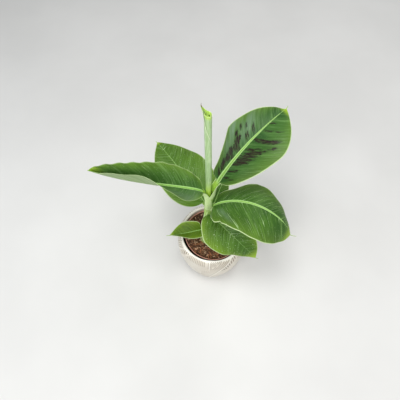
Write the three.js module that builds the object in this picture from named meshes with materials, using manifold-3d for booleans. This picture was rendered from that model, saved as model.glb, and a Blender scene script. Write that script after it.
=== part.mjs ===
// A young banana plant in a ceramic cover pot, in millimetres, +Z up.
// The origin is the middle of the pot's flat underside, and -Y is the side that the plant is seen from.
// Its leaves grow from one short false stem. A new leaf stands rolled up at the top of the stem. Below it are
// the open leaves, each a channelled stalk that widens into a broad blade folded along its midrib.

import * as THREE from "three";
import { mergeVertices } from "three/addons/utils/BufferGeometryUtils.js";
import Module from "manifold-3d";

const wasm = await Module();
wasm.setup();

const DEG = Math.PI / 180;
const TURN = 2 * Math.PI;
const GAP = 0.3; // clearance between pieces that touch

// Cover pot: ceramic, tapered, its side dressed with overlapping leaves whose tips make the rim wavy.
const POT = {
  height: 112.5,
  rimRadius: 75.2,
  mouthRadius: 62.9,
  footRadius: 54.8,
  footRound: 2.5,
  belly: 3.6, // how far the side swells out from a straight taper
  floor: 9,
  wall: 5.6,
  segments: 72,
  rows: 9,
};

// Leaves in relief on the pot: upright ones, and leaning ones that overlap them on one side.
const POT_LEAF = {
  pairs: 4,
  turn: -98 * DEG,
  lean: 46 * DEG, // how far a leaning leaf swings round on its way up
  leanPower: 3,
  upright: { halfWidth: 38 * DEG, level: 1.1 },
  leaning: { halfWidth: 27 * DEG, level: 2.3 },
  from: 0.06, // the stretch of a leaf's outline that covers the pot's side from bottom to top
  to: 0.8,
  roundness: 0.8,
  edge: 5, // steepness of a leaf's edge
  midrib: 0.6,
  midribWidth: 2.4 * DEG,
  scallop: 1.6, // how far a leaf's tip lifts the rim
  scallopWidth: 15 * DEG,
};

// Grower's pot: thin plastic, standing inside the cover pot and pushed to its back.
const GROWER = {
  x: -1.2,
  y: 3,
  height: 95,
  rimRadius: 58.6,
  footRadius: 43.5,
  wall: 1.6,
  rimBand: 9,
  rimStep: 1.4, // how far the rim's band stands out
  segments: 48,
};
const GROWER_BASE = POT.floor + GAP;
const GROWER_TOP = GROWER_BASE + GROWER.height;

// Potting soil: fills the grower's pot to a little under its rim, slightly heaped round the stem.
const SOIL = {
  below: 7,
  fall: 2.5,
  lump: 0.8,
  level: 1, // how far round the stem's foot it stays flat
  ease: 12,
  rings: 7,
  segments: 40,
};
const SOIL_TOP = GROWER_TOP - SOIL.below;

// False stem: rolled leaf sheaths from a flat cut on the soil to where the newest stalks part.
const STEM = {
  foot: new THREE.Vector2(-13.3, -4.7),
  top: new THREE.Vector3(-10.3, 1.3, 238),
  footRadius: 8.8,
  topRadius: 6.3,
  flare: 2.4,
  flareFade: 12, // the flare fades by this power of e over the stem's height
  sides: 18,
  rings: 10,
  crowding: 1.6, // how much closer the rings lie at the foot
};

// New leaf, still rolled up, rising from the top of the stem, its mouth slanted and drawn out into a tail.
const SPEAR = {
  top: new THREE.Vector3(-14.9, 16.3, 458),
  footRadius: 4.6,
  topRadius: 5.3,
  seam: 0.6, // step in the surface where the roll's outer edge lies
  seamTwist: 150 * DEG,
  mouthRadius: 3.1,
  mouthDepth: 26,
  lip: 0.86, // the mouth's edge, as a share of the radius
  drawnFrom: 0.9, // share of its height from which it is drawn out into its tail
  slant: 4,
  tail: 14,
  tailAt: 140 * DEG,
  tailWidth: 60 * DEG,
  tailPower: 1.4,
  tailCurl: 6,
  sides: 24,
  rings: 9,
};

// Open leaves, from the top of the stem down. Lengths are in millimetres and angles in degrees.
// foot: height on the stem where the stalk parts from it.
// base: where the stalk ends and the blade begins, and blade: the blade's length.
// heading: bearing of the blade there, from +X towards +Y, which turns by swing on the way to the tip.
// rise: slope of the blade at its base, which changes by droop on the way to the tip, by the power arch.
// cup: how far a half curls down towards its margin.
// roll: turn of the blade about its midrib, at its base and at its tip.
// foldLeft, foldRight: how steeply a half stands up from the midrib, at the blade's base and at its tip.
// foldFrom, foldTo: the shares of the blade between which that changes.
// half: greatest half-width, of the left half and of the right half, as in the next four pairs.
// peak: share of the blade where that width lies.
// lobe: extra width of the rounded lobe at the base.
// basePower, tipPower: roundness of the outline below and above the peak.
// ripple, waves: height and number of the margin's waves.
// drip: length, slope and bearing of the thread in which the tip ends.
const LEAVES = {
  leaf_back_right: {
    foot: 240, base: [5.7, 8.6, 296], blade: 173, heading: 34, swing: 4,
    rise: 58.5, droop: -49, arch: 1.06, cup: 16, roll: [8, -8],
    foldLeft: [5, 21], foldRight: [23, -4], foldFrom: 0, foldTo: 1,
    half: [46.8, 60], peak: [0.48, 0.61], lobe: [15, 1],
    basePower: [1.1, 1.7], tipPower: [1.34, 1.14], ripple: 0.6, waves: 4, drip: [5, 60, 60],
  },
  leaf_left: {
    foot: 212, base: [-22.8, -5.2, 284.5], blade: 211, heading: 203.5, swing: -49,
    rise: 57, droop: -68, arch: 0.63, cup: 3, roll: [10, -27],
    foldLeft: [3.5, 87], foldRight: [61, 63], foldFrom: 0.1, foldTo: 0.62,
    half: [44.8, 41.3], peak: [0.47, 0.45], lobe: [0, 3.5],
    basePower: [1.6, 1.52], tipPower: [1.09, 1.29], ripple: 0.8, waves: 7, drip: [2, 0, 170],
  },
  leaf_right: {
    foot: 209, base: [-0.3, -2.7, 232], blade: 186, heading: -12.5, swing: -19.5,
    rise: 54, droop: -124.5, arch: 1.13, cup: 15, roll: [3.5, -15],
    foldLeft: [-3, -7], foldRight: [23, -8], foldFrom: 0, foldTo: 1,
    half: [55.5, 66], peak: [0.41, 0.52], lobe: [21, 6],
    basePower: [1.1, 1.96], tipPower: [1.25, 1.4], ripple: 0.6, waves: 4, drip: [15, 5, -3],
  },
  leaf_back_left: {
    foot: 174, base: [-18.1, 20.5, 205.5], blade: 162, heading: 132, swing: -8,
    rise: 31, droop: -39.5, arch: 1, cup: 17, roll: [-4, 0],
    foldLeft: [12, 5], foldRight: [25, -3.5], foldFrom: 0, foldTo: 1,
    half: [51.7, 52.8], peak: [0.37, 0.35], lobe: [0, 3],
    basePower: [2.2, 2.2], tipPower: [0.94, 1.27], ripple: 0.5, waves: 4, drip: [4, 15, 150],
  },
  leaf_front: {
    foot: 166, base: [-7.7, -7.7, 206], blade: 138.5, heading: -61, swing: 46,
    rise: 54, droop: -113, arch: 0.55, cup: 18, roll: [-2, 36],
    foldLeft: [20, 23], foldRight: [22, -30], foldFrom: 0, foldTo: 1,
    half: [40.8, 45.4], peak: [0.31, 0.3], lobe: [3, 4],
    basePower: [1.42, 1.3], tipPower: [1.14, 1.1], ripple: 0.4, waves: 4, drip: [7, 0, -8],
  },
  leaf_small_back: {
    foot: 136, base: [-4.3, 14.3, 172], blade: 90, heading: 68, swing: 2,
    rise: 28, droop: -40, arch: 1, cup: 10, roll: [0, 0],
    foldLeft: [16, 12], foldRight: [16, 12], foldFrom: 0, foldTo: 1,
    half: [19, 19], peak: [0.5, 0.5], lobe: [0, 0],
    basePower: [2.3, 2.3], tipPower: [1.2, 1.2], ripple: 0.3, waves: 3, drip: [3, 0, 70],
  },
  leaf_small_left: {
    foot: 116, base: [-23, -4.1, 135.2], blade: 68.5, heading: 200, swing: -17,
    rise: 9, droop: -19, arch: 1, cup: -2, roll: [-10.5, 16.5],
    foldLeft: [11, 46], foldRight: [32, 18.5], foldFrom: 0, foldTo: 1,
    half: [20.1, 22.9], peak: [0.42, 0.48], lobe: [3.5, 3.5],
    basePower: [2.6, 2.5], tipPower: [0.94, 0.85], ripple: 0.2, waves: 3, drip: [6, 5, 184],
  },
};

const BLADE = {
  thickness: 0.0105, // share of the leaf's whole length
  keel: 2.2, // how far the midrib stands out below the base of the blade
  tipKeel: 0.3,
  root: 0.25, // share of the blade in which the channel's width runs out
  calm: 1 / 6, // share of the blade at each end that has no ripples
  tipWidth: 0.8, // half-width of the tip's thread
  lobeRise: 0.025, // share of the blade in which a basal lobe reaches its full width
  lobeFade: 0.14, // share of the blade by which most of it is gone
  rows: 18,
  smallRows: 12,
  columns: 3, // strips from midrib to margin
};

const STALK = {
  sheathWidth: 5.6, // half-width of the channel where it clasps the stem
  neckWidth: 4.6, // half-width of the channel where the blade begins
  curl: 80, // how far the channel's half curls round
  slope: 84, // slope at which it parts from the stem
  handle: 0.38, // how far its ends keep their direction, as a share of the way between them
  openFrom: -9, // where the channel starts to open out, from the base of the blade
  openTo: 3,
  thickness: 1.3,
  rows: 6,
};
// The stalk of a leaf with a blade of this length, less the least share, has its full width.
const FULL_SIZE = 160;
const LEAST_SHARE = 0.25;
const SMALL_BLADE = 100; // blade length under which fewer rows will do

const blend = (a, b, t) => a + (b - a) * t;

function smooth(t) {
  const c = Math.min(Math.max(t, 0), 1);
  return c * c * (3 - 2 * c);
}

function wrapped(angle) {
  return Math.atan2(Math.sin(angle), Math.cos(angle));
}

// A solid from triangles over shared points, turned to face outwards.
function solidOf(points, triangles) {
  const geometry = new THREE.BufferGeometry().setFromPoints(points);
  geometry.setIndex(triangles.flat());
  const merged = mergeVertices(geometry, 1e-4);
  const made = new wasm.Manifold(
    new wasm.Mesh({
      numProp: 3,
      vertProperties: merged.attributes.position.array,
      triVerts: new Uint32Array(merged.index.array),
    }),
  );
  if (made.volume() > 0) {
    return made;
  }
  return solidOf(points, triangles.map(([a, b, c]) => [a, c, b]));
}

// The geometry of a solid's largest piece.
function geometryOf(solid) {
  const [largest] = solid.decompose().sort((a, b) => b.volume() - a.volume());
  const { numProp, numVert, vertProperties, triVerts } = largest.getMesh();
  const points = [];
  for (let i = 0; i < numVert; i++) {
    points.push(new THREE.Vector3().fromArray(vertProperties, i * numProp));
  }
  const geometry = new THREE.BufferGeometry().setFromPoints(points);
  geometry.setIndex(Array.from(triVerts));
  return geometry;
}

// A skin over rings that have the same number of points. capFaces lists the triangles that close one end.
function loft(rings, capFaces) {
  const count = rings[0].length;
  const triangles = [];
  for (let i = 0; i + 1 < rings.length; i++) {
    for (let k = 0; k < count; k++) {
      const here = i * count;
      const next = (k + 1) % count;
      triangles.push([here + k, here + next, here + count + next]);
      triangles.push([here + k, here + count + next, here + count + k]);
    }
  }
  const last = (rings.length - 1) * count;
  for (const [a, b, c] of capFaces) {
    triangles.push([a, c, b], [last + a, last + b, last + c]);
  }
  return solidOf(rings.flat(), triangles);
}

// An end over a round ring: a fan from its first point.
function fan(count) {
  return Array.from({ length: count - 2 }, (_, k) => [0, k + 1, k + 2]);
}

// An end over a flat ring that runs along the top of a sheet and back under it.
function ladder(count) {
  const faces = [];
  for (let k = 0; k + 1 < count / 2; k++) {
    const a = count - 2 - k;
    faces.push([k, k + 1, a], [k, a, a + 1]);
  }
  return faces;
}

function circle(centre, radius, sides) {
  return Array.from({ length: sides }, (_, k) => {
    const angle = (k / sides) * TURN;
    const spoke = new THREE.Vector3(Math.cos(angle), Math.sin(angle), 0);
    return spoke.multiplyScalar(radius).add(centre);
  });
}

// A body turned from a profile of [radius, height] that starts and ends on the axis.
// shape moves each point.
function turned(profile, segments, shape = (point) => point) {
  const start = profile[0];
  const end = profile[profile.length - 1];
  const points = [new THREE.Vector3(0, 0, start[1]), new THREE.Vector3(0, 0, end[1])];
  const inner = profile.slice(1, -1);
  for (let i = 0; i < segments; i++) {
    const angle = (i / segments) * TURN;
    for (const place of inner) {
      const [radius, z] = shape(place, angle);
      points.push(new THREE.Vector3(radius * Math.cos(angle), radius * Math.sin(angle), z));
    }
  }
  const triangles = [];
  for (let i = 0; i < segments; i++) {
    const here = 2 + i * inner.length;
    const next = 2 + ((i + 1) % segments) * inner.length;
    triangles.push([0, next, here]);
    for (let k = 0; k + 1 < inner.length; k++) {
      triangles.push([here + k, next + k, next + k + 1], [here + k, next + k + 1, here + k + 1]);
    }
    triangles.push([1, here + inner.length - 1, next + inner.length - 1]);
  }
  return solidOf(points, triangles);
}

// Each leaf of the pot's relief: bearing of its foot, how far it leans, and its width and level.
function potLeaves() {
  const leaves = [];
  for (let i = 0; i < POT_LEAF.pairs; i++) {
    const foot = POT_LEAF.turn + (i / POT_LEAF.pairs) * TURN;
    leaves.push({ foot, lean: 0, ...POT_LEAF.upright }, { foot, lean: POT_LEAF.lean, ...POT_LEAF.leaning });
  }
  return leaves;
}

// How far the pot's side stands out at a bearing and a share of its height.
function potRelief(angle, share) {
  let relief = 0;
  for (const leaf of potLeaves()) {
    const off = wrapped(angle - leaf.foot - leaf.lean * Math.pow(share, POT_LEAF.leanPower));
    const along = Math.sin(Math.PI * blend(POT_LEAF.from, POT_LEAF.to, share));
    const width = leaf.halfWidth * Math.pow(along, POT_LEAF.roundness);
    const edge = smooth((1 - Math.abs(off) / width) * POT_LEAF.edge);
    const rib = POT_LEAF.midrib * Math.max(0, 1 - Math.abs(off) / POT_LEAF.midribWidth);
    relief = Math.max(relief, edge * (leaf.level + rib));
  }
  return relief;
}

function rimLift(angle) {
  const lifts = potLeaves().map((leaf) => {
    const off = wrapped(angle - leaf.foot - leaf.lean) / POT_LEAF.scallopWidth;
    return POT_LEAF.scallop * Math.exp(-off * off);
  });
  return Math.max(...lifts) - POT_LEAF.scallop;
}

function coverPot() {
  const { height, rimRadius, mouthRadius, footRadius, footRound, belly, floor, wall } = POT;
  const plain = rimRadius - POT_LEAF.leaning.level - POT_LEAF.midrib;
  const profile = [[0, 0], [footRadius - footRound, 0]];
  for (let i = 0; i <= POT.rows; i++) {
    const share = i / POT.rows;
    const radius = blend(footRadius, plain, share) + belly * Math.sin(Math.PI * share);
    profile.push([radius, blend(footRound, height - 4, share)]);
  }
  profile.push([plain - 1, height - 1.3], [plain - 3.4, height], [mouthRadius + 2, height - 0.4]);
  profile.push([mouthRadius, height - 3], [mouthRadius + 0.6, height - 9]);
  profile.push([mouthRadius + 0.4, height - 22]);
  const lowest = footRadius + belly * Math.sin((Math.PI * floor) / height) - wall;
  profile.push([lowest + 2.2, floor + 2], [lowest + 0.6, floor], [0, floor]);
  const lastOutside = 2 + POT.rows;
  return turned(profile, POT.segments, (place, angle) => {
    const row = profile.indexOf(place);
    const share = place[1] / height;
    const raised = row > 1 && row <= lastOutside + 1 ? potRelief(angle, share) : 0;
    const lifted = rimLift(angle) * smooth((share - 0.85) / 0.15);
    return [place[0] + raised, place[1] + lifted];
  });
}

function growerPot() {
  const { height, rimRadius, footRadius, wall, rimBand, rimStep, segments } = GROWER;
  const underBand = rimRadius - rimStep;
  const profile = [
    [0, 0], [footRadius - 1, 0], [footRadius, 1],
    [underBand, height - rimBand], [rimRadius - 0.4, height - rimBand + 0.6], [rimRadius, height - 0.8],
    [rimRadius - 0.6, height], [rimRadius - wall, height],
    [underBand - wall, height - rimBand - 1], [footRadius - wall, wall], [0, wall],
  ];
  return turned(profile, segments).translate(GROWER.x, GROWER.y, GROWER_BASE);
}

// How far the soil's surface lies above or below its mean level. It is flat where the stem stands.
function soilRelief(x, y) {
  const fromStem = Math.hypot(x - STEM.foot.x, y - STEM.foot.y);
  const lumps = Math.sin(x * 0.31 + 1) * Math.cos(y * 0.27) + 0.6 * Math.sin(x * 0.13 - y * 0.41);
  const flat = STEM.footRadius + STEM.flare + SOIL.level;
  const slope = SOIL.fall * (fromStem / GROWER.rimRadius);
  return smooth((fromStem - flat) / SOIL.ease) * (SOIL.lump * lumps - slope);
}

function soil() {
  const { height, rimRadius, footRadius, wall, rimBand, rimStep } = GROWER;
  const slope = (rimRadius - rimStep - footRadius) / (height - rimBand);
  const clear = wall + 3 * GAP;
  const floor = GROWER_BASE + wall + GAP;
  const edge = footRadius + slope * (SOIL_TOP - GROWER_BASE) - clear;
  const profile = [[0, floor], [footRadius - clear, floor], [edge, SOIL_TOP - 3]];
  for (let i = 1; i < SOIL.rings; i++) {
    profile.push([edge * (1 - i / SOIL.rings), SOIL_TOP]);
  }
  profile.push([0, SOIL_TOP]);
  const shaped = ([radius, z], angle) => {
    const x = GROWER.x + radius * Math.cos(angle);
    const y = GROWER.y + radius * Math.sin(angle);
    return [radius, z < SOIL_TOP ? z : z + soilRelief(x, y)];
  };
  return turned(profile, SOIL.segments, shaped).translate(GROWER.x, GROWER.y, 0);
}

// Centre and radius of the stem at a height.
function stemAt(z) {
  const t = (z - SOIL_TOP) / (STEM.top.z - SOIL_TOP);
  const centre = new THREE.Vector3(blend(STEM.foot.x, STEM.top.x, t), blend(STEM.foot.y, STEM.top.y, t), z);
  const radius = blend(STEM.footRadius, STEM.topRadius, t) + STEM.flare * Math.exp(-STEM.flareFade * t);
  return { centre, radius };
}

// Centre and radius of what a stalk clasps at a height: the stem, or the rolled leaf above it.
function coreAt(z) {
  return z < STEM.top.z ? stemAt(z) : spearAt((z - STEM.top.z) / (SPEAR.top.z - STEM.top.z));
}

function stem(grow) {
  const rings = [];
  for (let i = 0; i <= STEM.rings; i++) {
    const t = Math.pow(i / STEM.rings, STEM.crowding);
    const { centre, radius } = stemAt(blend(SOIL_TOP + GAP - grow, STEM.top.z + grow, t));
    rings.push(circle(centre, radius + grow, STEM.sides));
  }
  return loft(rings, fan(STEM.sides));
}

// Centre and radius of the rolled leaf at a share of its height.
function spearAt(t) {
  const foot = STEM.top.clone();
  foot.z += GAP;
  const centre = foot.lerp(SPEAR.top, t);
  return { centre, radius: blend(SPEAR.footRadius, SPEAR.topRadius, smooth(2 * t)) };
}

function spear() {
  const { sides, seam, seamTwist, mouthRadius, mouthDepth, slant, tail, tailAt, tailCurl } = SPEAR;
  const ringAt = (t, scale, top) => {
    const { centre, radius } = spearAt(t);
    return circle(centre, 1, sides).map((point, k) => {
      const angle = (k / sides) * TURN;
      const wound = (((angle - tailAt - Math.PI - seamTwist * t) / TURN) % 1 + 1) % 1;
      const drawn = Math.max(0, 1 - Math.abs(wrapped(angle - tailAt)) / SPEAR.tailWidth) ** SPEAR.tailPower;
      const reach = (radius - seam * wound) * scale + top * tailCurl * drawn;
      const lift = top * (slant * Math.cos(angle - tailAt) + tail * drawn);
      return new THREE.Vector3(
        centre.x + reach * Math.cos(angle), centre.y + reach * Math.sin(angle), centre.z + lift);
    });
  };
  const rings = [];
  for (let i = 0; i <= SPEAR.rings; i++) {
    const t = i / SPEAR.rings;
    rings.push(ringAt(t, 1, smooth((t - SPEAR.drawnFrom) / (1 - SPEAR.drawnFrom))));
  }
  const mouth = mouthRadius / SPEAR.topRadius;
  const depth = mouthDepth / (SPEAR.top.z - STEM.top.z);
  rings.push(ringAt(1, SPEAR.lip, 1), ringAt(1 - depth / 3, mouth, 0), ringAt(1 - depth, mouth / 3, 0));
  return loft(rings, fan(sides));
}

// The space that the stem and the rolled leaf need, with a clearance all round.
function keptClear() {
  const rings = [];
  for (let i = 0; i <= SPEAR.rings; i++) {
    const { centre, radius } = spearAt(i / SPEAR.rings);
    rings.push(circle(centre, radius + GAP, SPEAR.sides));
  }
  return stem(GAP).add(loft(rings, fan(SPEAR.sides)));
}

// Half-width of a blade at a share t of its length, for its left half, 0, or its right half, 1.
function halfWidth(leaf, half, t) {
  const rising = Math.sqrt(Math.min(1, t / BLADE.lobeRise));
  const lobe = leaf.lobe[half] * rising * Math.exp(-((t / BLADE.lobeFade) ** 2));
  const peak = leaf.peak[half];
  if (t < peak) {
    const power = leaf.basePower[half];
    return lobe + leaf.half[half] * Math.pow(1 - Math.pow((peak - t) / peak, power), 1 / power);
  }
  const past = Math.min(1, (t - peak) / (1 - peak));
  return lobe + leaf.half[half] * Math.pow(1 - past * past, 1 / leaf.tipPower[half]);
}

// The stalk's course, from the stem's surface, at first along it and then in the blade's own direction.
function stalkCurve(leaf) {
  const base = new THREE.Vector3(...leaf.base);
  const { centre, radius } = coreAt(leaf.foot);
  const outward = base.clone().sub(coreAt(base.z).centre).setZ(0).normalize();
  const foot = centre.addScaledVector(outward, radius + GAP);
  const reach = STALK.handle * foot.distanceTo(base);
  const parting = axesOf(STALK.slope, Math.atan2(outward.y, outward.x) / DEG).along;
  const { along } = bladeAxes(leaf, 0);
  const curve = new THREE.CubicBezierCurve3(
    foot, foot.clone().addScaledVector(parting, reach), base.clone().addScaledVector(along, -reach), base);
  return { curve, footBearing: Math.atan2(outward.y, outward.x) };
}

// Directions along and across a leaf, and up from it, from its slope and its bearing in degrees.
function axesOf(slope, bearing) {
  const level = new THREE.Vector3(Math.cos(bearing * DEG), Math.sin(bearing * DEG), 0);
  const along = level.multiplyScalar(Math.cos(slope * DEG)).setZ(Math.sin(slope * DEG));
  const across = new THREE.Vector3(-Math.sin(bearing * DEG), Math.cos(bearing * DEG), 0);
  return { along, across, up: new THREE.Vector3().crossVectors(along, across) };
}

function bladeAxes(leaf, t) {
  return axesOf(leaf.rise + leaf.droop * Math.pow(t, leaf.arch), leaf.heading + leaf.swing * t);
}

function stalkStations(leaf) {
  const { curve, footBearing } = stalkCurve(leaf);
  const length = curve.getLength();
  const list = Array.from({ length: STALK.rows }, (_, i) => {
    const u = i / STALK.rows;
    const along = curve.getTangent(u);
    const bearing = footBearing + wrapped(leaf.heading * DEG - footBearing) * smooth(u);
    const level = new THREE.Vector3(-Math.sin(bearing), Math.cos(bearing), 0);
    const across = level.addScaledVector(along, -level.dot(along)).normalize();
    const up = new THREE.Vector3().crossVectors(along, across);
    return { u, t: 0, past: (u - 1) * length, place: curve.getPoint(u), across, up };
  });
  return { list, length };
}

// The blade's stations, closest at its two ends, and the end of its thread.
function bladeStations(leaf) {
  const rows = leaf.blade < SMALL_BLADE ? BLADE.smallRows : BLADE.rows;
  const place = new THREE.Vector3(...leaf.base);
  const step = 1 / 300;
  let done = 0;
  const list = Array.from({ length: rows + 1 }, (_, i) => {
    const t = (1 - Math.cos((Math.PI * i) / rows)) / 2;
    while (done + step / 2 < t) {
      place.addScaledVector(bladeAxes(leaf, done + step / 2).along, step * leaf.blade);
      done += step;
    }
    return { u: 1, t, past: t * leaf.blade, place: place.clone(), ...bladeAxes(leaf, t) };
  });
  const [length, slope, bearing] = leaf.drip;
  const thread = axesOf(slope, bearing);
  place.addScaledVector(thread.along, length);
  list.push({ u: 1, t: 1, past: leaf.blade + length, place, ...thread });
  return list;
}

// One cross-section of a leaf: along its top from the left margin to the right one, and back underneath.
// u is the share of the stalk, t the share of the blade, and past the way from the base of the blade.
function leafRing(leaf, length, { u, t, past, place, across, up }) {
  const opened = smooth((past - STALK.openFrom) / (STALK.openTo - STALK.openFrom));
  const size = Math.min(1, leaf.blade / FULL_SIZE + LEAST_SHARE);
  const roll = blend(leaf.roll[0], leaf.roll[1], t) * DEG * opened;
  const side = across.clone().multiplyScalar(Math.cos(roll)).addScaledVector(up, Math.sin(roll));
  const face = up.clone().multiplyScalar(Math.cos(roll)).addScaledVector(across, -Math.sin(roll));
  const sheet = blend(STALK.thickness, BLADE.thickness * length, opened);
  const channel = blend(STALK.sheathWidth, STALK.neckWidth, u) * size;
  const folding = smooth((t - leaf.foldFrom) / (leaf.foldTo - leaf.foldFrom));
  const halves = [0, 1].map((i) => {
    const sign = 1 - 2 * i;
    const [baseFold, tipFold] = i === 0 ? leaf.foldLeft : leaf.foldRight;
    const fold = blend(baseFold, tipFold, folding);
    const narrow = blend(channel, BLADE.tipWidth, smooth(t / BLADE.root));
    const half = Math.max(past > 0 ? halfWidth(leaf, i, t) : 0, narrow);
    const point = place.clone();
    const top = [];
    const below = [];
    for (let k = 1; k <= BLADE.columns; k++) {
      const reach = k / BLADE.columns;
      const middle = reach - 0.5 / BLADE.columns;
      const angle = blend(STALK.curl * middle, fold - leaf.cup * middle, opened) * DEG;
      const normal = face.clone().multiplyScalar(Math.cos(angle));
      normal.addScaledVector(side, -sign * Math.sin(angle));
      point.addScaledVector(side, (sign * Math.cos(angle) * half) / BLADE.columns);
      point.addScaledVector(face, (Math.sin(angle) * half) / BLADE.columns);
      const swell = Math.sin(TURN * leaf.waves * t + sign) * reach * reach;
      const wave = leaf.ripple * swell * smooth(t / BLADE.calm) * smooth((1 - t) / BLADE.calm);
      top.push(point.clone().addScaledVector(normal, wave));
      below.push(point.clone().addScaledVector(normal, wave - sheet));
    }
    return { top, below };
  });
  const [left, right] = halves;
  const keel = blend(BLADE.keel * u, BLADE.tipKeel, t) * size;
  const spine = place.clone().addScaledVector(face, -sheet - keel);
  return [...left.top.reverse(), place, ...right.top, ...right.below.reverse(), spine, ...left.below];
}

function leafSolid(leaf) {
  const stalk = stalkStations(leaf);
  const length = stalk.length + leaf.blade;
  const rings = [...stalk.list, ...bladeStations(leaf)].map((station) => leafRing(leaf, length, station));
  return loft(rings, ladder(rings[0].length));
}

const GLAZE = { color: 0xe9e4da, roughness: 0.5 };
const TERRACOTTA = { color: 0x8f5546, roughness: 0.6 };
const EARTH = { color: 0x4a3226, roughness: 0.95 };
const STEM_GREEN = { color: 0xa9c973, roughness: 0.45 };
const NEW_LEAF_GREEN = { color: 0x9fcc78, roughness: 0.45 };
const LEAF_GREEN = { color: 0x3f7d33, roughness: 0.45 };

const plant = new THREE.Group();

function add(name, solid, look) {
  const mesh = new THREE.Mesh(geometryOf(solid), new THREE.MeshStandardMaterial({ ...look, metalness: 0 }));
  mesh.name = name;
  plant.add(mesh);
}

add("cover_pot", coverPot(), GLAZE);
add("grower_pot", growerPot(), TERRACOTTA);
add("potting_soil", soil(), EARTH);
add("pseudostem", stem(0), STEM_GREEN);
add("spear_leaf", spear(), NEW_LEAF_GREEN);
const clear = keptClear();
for (const [name, leaf] of Object.entries(LEAVES)) {
  add(name, leafSolid(leaf).subtract(clear), LEAF_GREEN);
}

export default plant;
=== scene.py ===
"""A young banana plant in a ceramic cover pot: the fine surfaces, materials, light and camera.

Sizes are in millimetres and angles in degrees, and meshes are made in metres, in the frame's own axes.
A bearing is 0 to the right of the pot and 90 behind it. Colours are linear shares of red, green and blue.
"""

import itertools
import math

import bpy
import numpy as np
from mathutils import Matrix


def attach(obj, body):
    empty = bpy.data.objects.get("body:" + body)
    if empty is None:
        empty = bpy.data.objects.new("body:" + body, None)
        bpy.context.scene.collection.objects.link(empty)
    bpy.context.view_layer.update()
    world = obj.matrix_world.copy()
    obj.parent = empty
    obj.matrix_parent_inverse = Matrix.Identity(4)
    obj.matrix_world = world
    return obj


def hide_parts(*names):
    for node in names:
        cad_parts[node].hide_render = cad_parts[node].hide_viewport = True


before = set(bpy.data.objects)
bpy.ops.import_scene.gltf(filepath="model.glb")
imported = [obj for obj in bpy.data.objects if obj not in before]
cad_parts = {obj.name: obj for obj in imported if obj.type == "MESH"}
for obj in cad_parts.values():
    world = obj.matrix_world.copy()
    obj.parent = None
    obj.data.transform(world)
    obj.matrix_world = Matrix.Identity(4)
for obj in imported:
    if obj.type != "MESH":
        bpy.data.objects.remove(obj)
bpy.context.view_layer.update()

MM = 0.001
SEED = 7
TAU = 2 * np.pi

# Cover pot: heights, radii, and how many points its mesh has round it and up its side and shoulder
POT = dict(
    height=112.5, rim=75.2, mouth=62.9, foot=54.8, foot_round=2.5, belly=5.0, floor=9, wall=5.6,
    shoulder=94, lip=66.9, lip_drop=1.9, lip_height=3.2, across=592, rows=92, shoulder_rows=44,
)
# Leaves in relief round it, in pairs. Of each kind: half its spread in degrees, and how far it stands out
POT_LEAF = dict(
    pairs=4, turn=-95.5, lean=38, lean_power=2.2, upright=(60, 1.1), leaning=(26, 2.3), show=(0.06, 0.8),
    roundness=0.8, edge=7, scallop=1.6, scallop_width=15,
)
# Spacing of the marks cut into them: veins fanned from a centre, curved cuts, ribs, and hatching
CUTS = dict(fan=0.062, fan_from=24, curved=4.2, ribs=4.0, hatch=(4.4, 4.0))

# Grower's pot, how its soft rim is pushed out of round (bearing, spread, amount), and the mix in it
GROWER = dict(middle=(-1.2, 3.0), height=95, rim=58.6, foot=43.5, wall=1.6, band=9, step=1.4)
GROWER_BULGE = ((-72, 40, 3.4), (-155, 36, -1.5))
GROWER_BASE = POT["floor"] + 0.3
SOIL_TOP = GROWER_BASE + GROWER["height"] - 7

# The mix lies higher against the wall at the back
HEAP = dict(height=7.0, at=125, least=30)

# False stem, and the new leaf that stands rolled up on it
# flare, fade: how much wider the stem's foot is, and how soon that is lost going up.
# turns, step, pitch: how often the sheet is wound, and how far the first and the later turns lie inside it.
# shift, shift_at: how far the inner turns move to one side, and its bearing.
# slant, tail, tail_at: how far the mouth slants, and height and bearing of the tail drawn out from it.
# tail_width, tail_power, tail_curl: how wide the tail is to each side, how pointed, and how far it leans out.
# thread: length of the dry thread on it. columns: points across the sheet.
STEM = dict(foot=(-13.3, -4.7), top=(-10.3, 1.3, 238), foot_radius=8.8, top_radius=6.3, flare=2.4, fade=12)
SPEAR = dict(
    top=(-14.9, 16.3, 458), foot_radius=4.8, top_radius=5.5, turns=4.2, step=0.55, pitch=1.0, shift=0.50,
    shift_at=-20, slant=1.6, tail=9.5, tail_at=146, tail_width=(50, 104), tail_power=1.9, tail_curl=5.5,
    thread=7.0, columns=220,
)
# Height and bearing of the rolled leaf's outer margin, from its foot up: it crosses the front near the top
SPEAR_MARGIN = (
    (238, 85), (300, 45), (385, -8), (400, -24), (412, -62), (430, -112), (447, -158), (458, -172),
)

# Open leaves, from the top of the stem down, by the same rule as the solids
# foot: height on the stem where the stalk parts from it. base, blade: where the blade begins, and its length.
# heading, swing, rise, droop, arch: bearing and slope at the blade's base, and how they change to its tip.
# cup, roll, fold_left, fold_right, fold_span: how a half curls, and stands up from the midrib.
# half, peak, lobe, base_power, tip_power: outline of the left half and of the right half.
# drip: length, slope and bearing of the thread at the tip.
# rib: half-width of the pale midrib, how fast it narrows, and where along the blade it ends.
# waves: height, number along the blade, and phase of a margin's waves, for each half.
# nicks: half, place, reach and depth of the dents and bulges of a margin.
# sheath, loose: how far the stalk's sheath reaches down the stem, and how far it stands off it.
# wrap, clasp: how far round the stem it goes, below and at the stalk's foot, and how soon it lets go.
# turn, handles: how far beside the blade the stalk parts, and how far its two ends run straight.
# collar, ring: height of the sheath's rim, and of a pale ring, above the stalk's foot.
LEAF = dict(
    arch=1, fold_span=(0, 1), nicks=(), sheath=12, loose=0.2, wrap=(95, 90), clasp=0.85, turn=0,
    handles=(0.38, 0.38), collar=3, ring=10,
)
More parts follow.
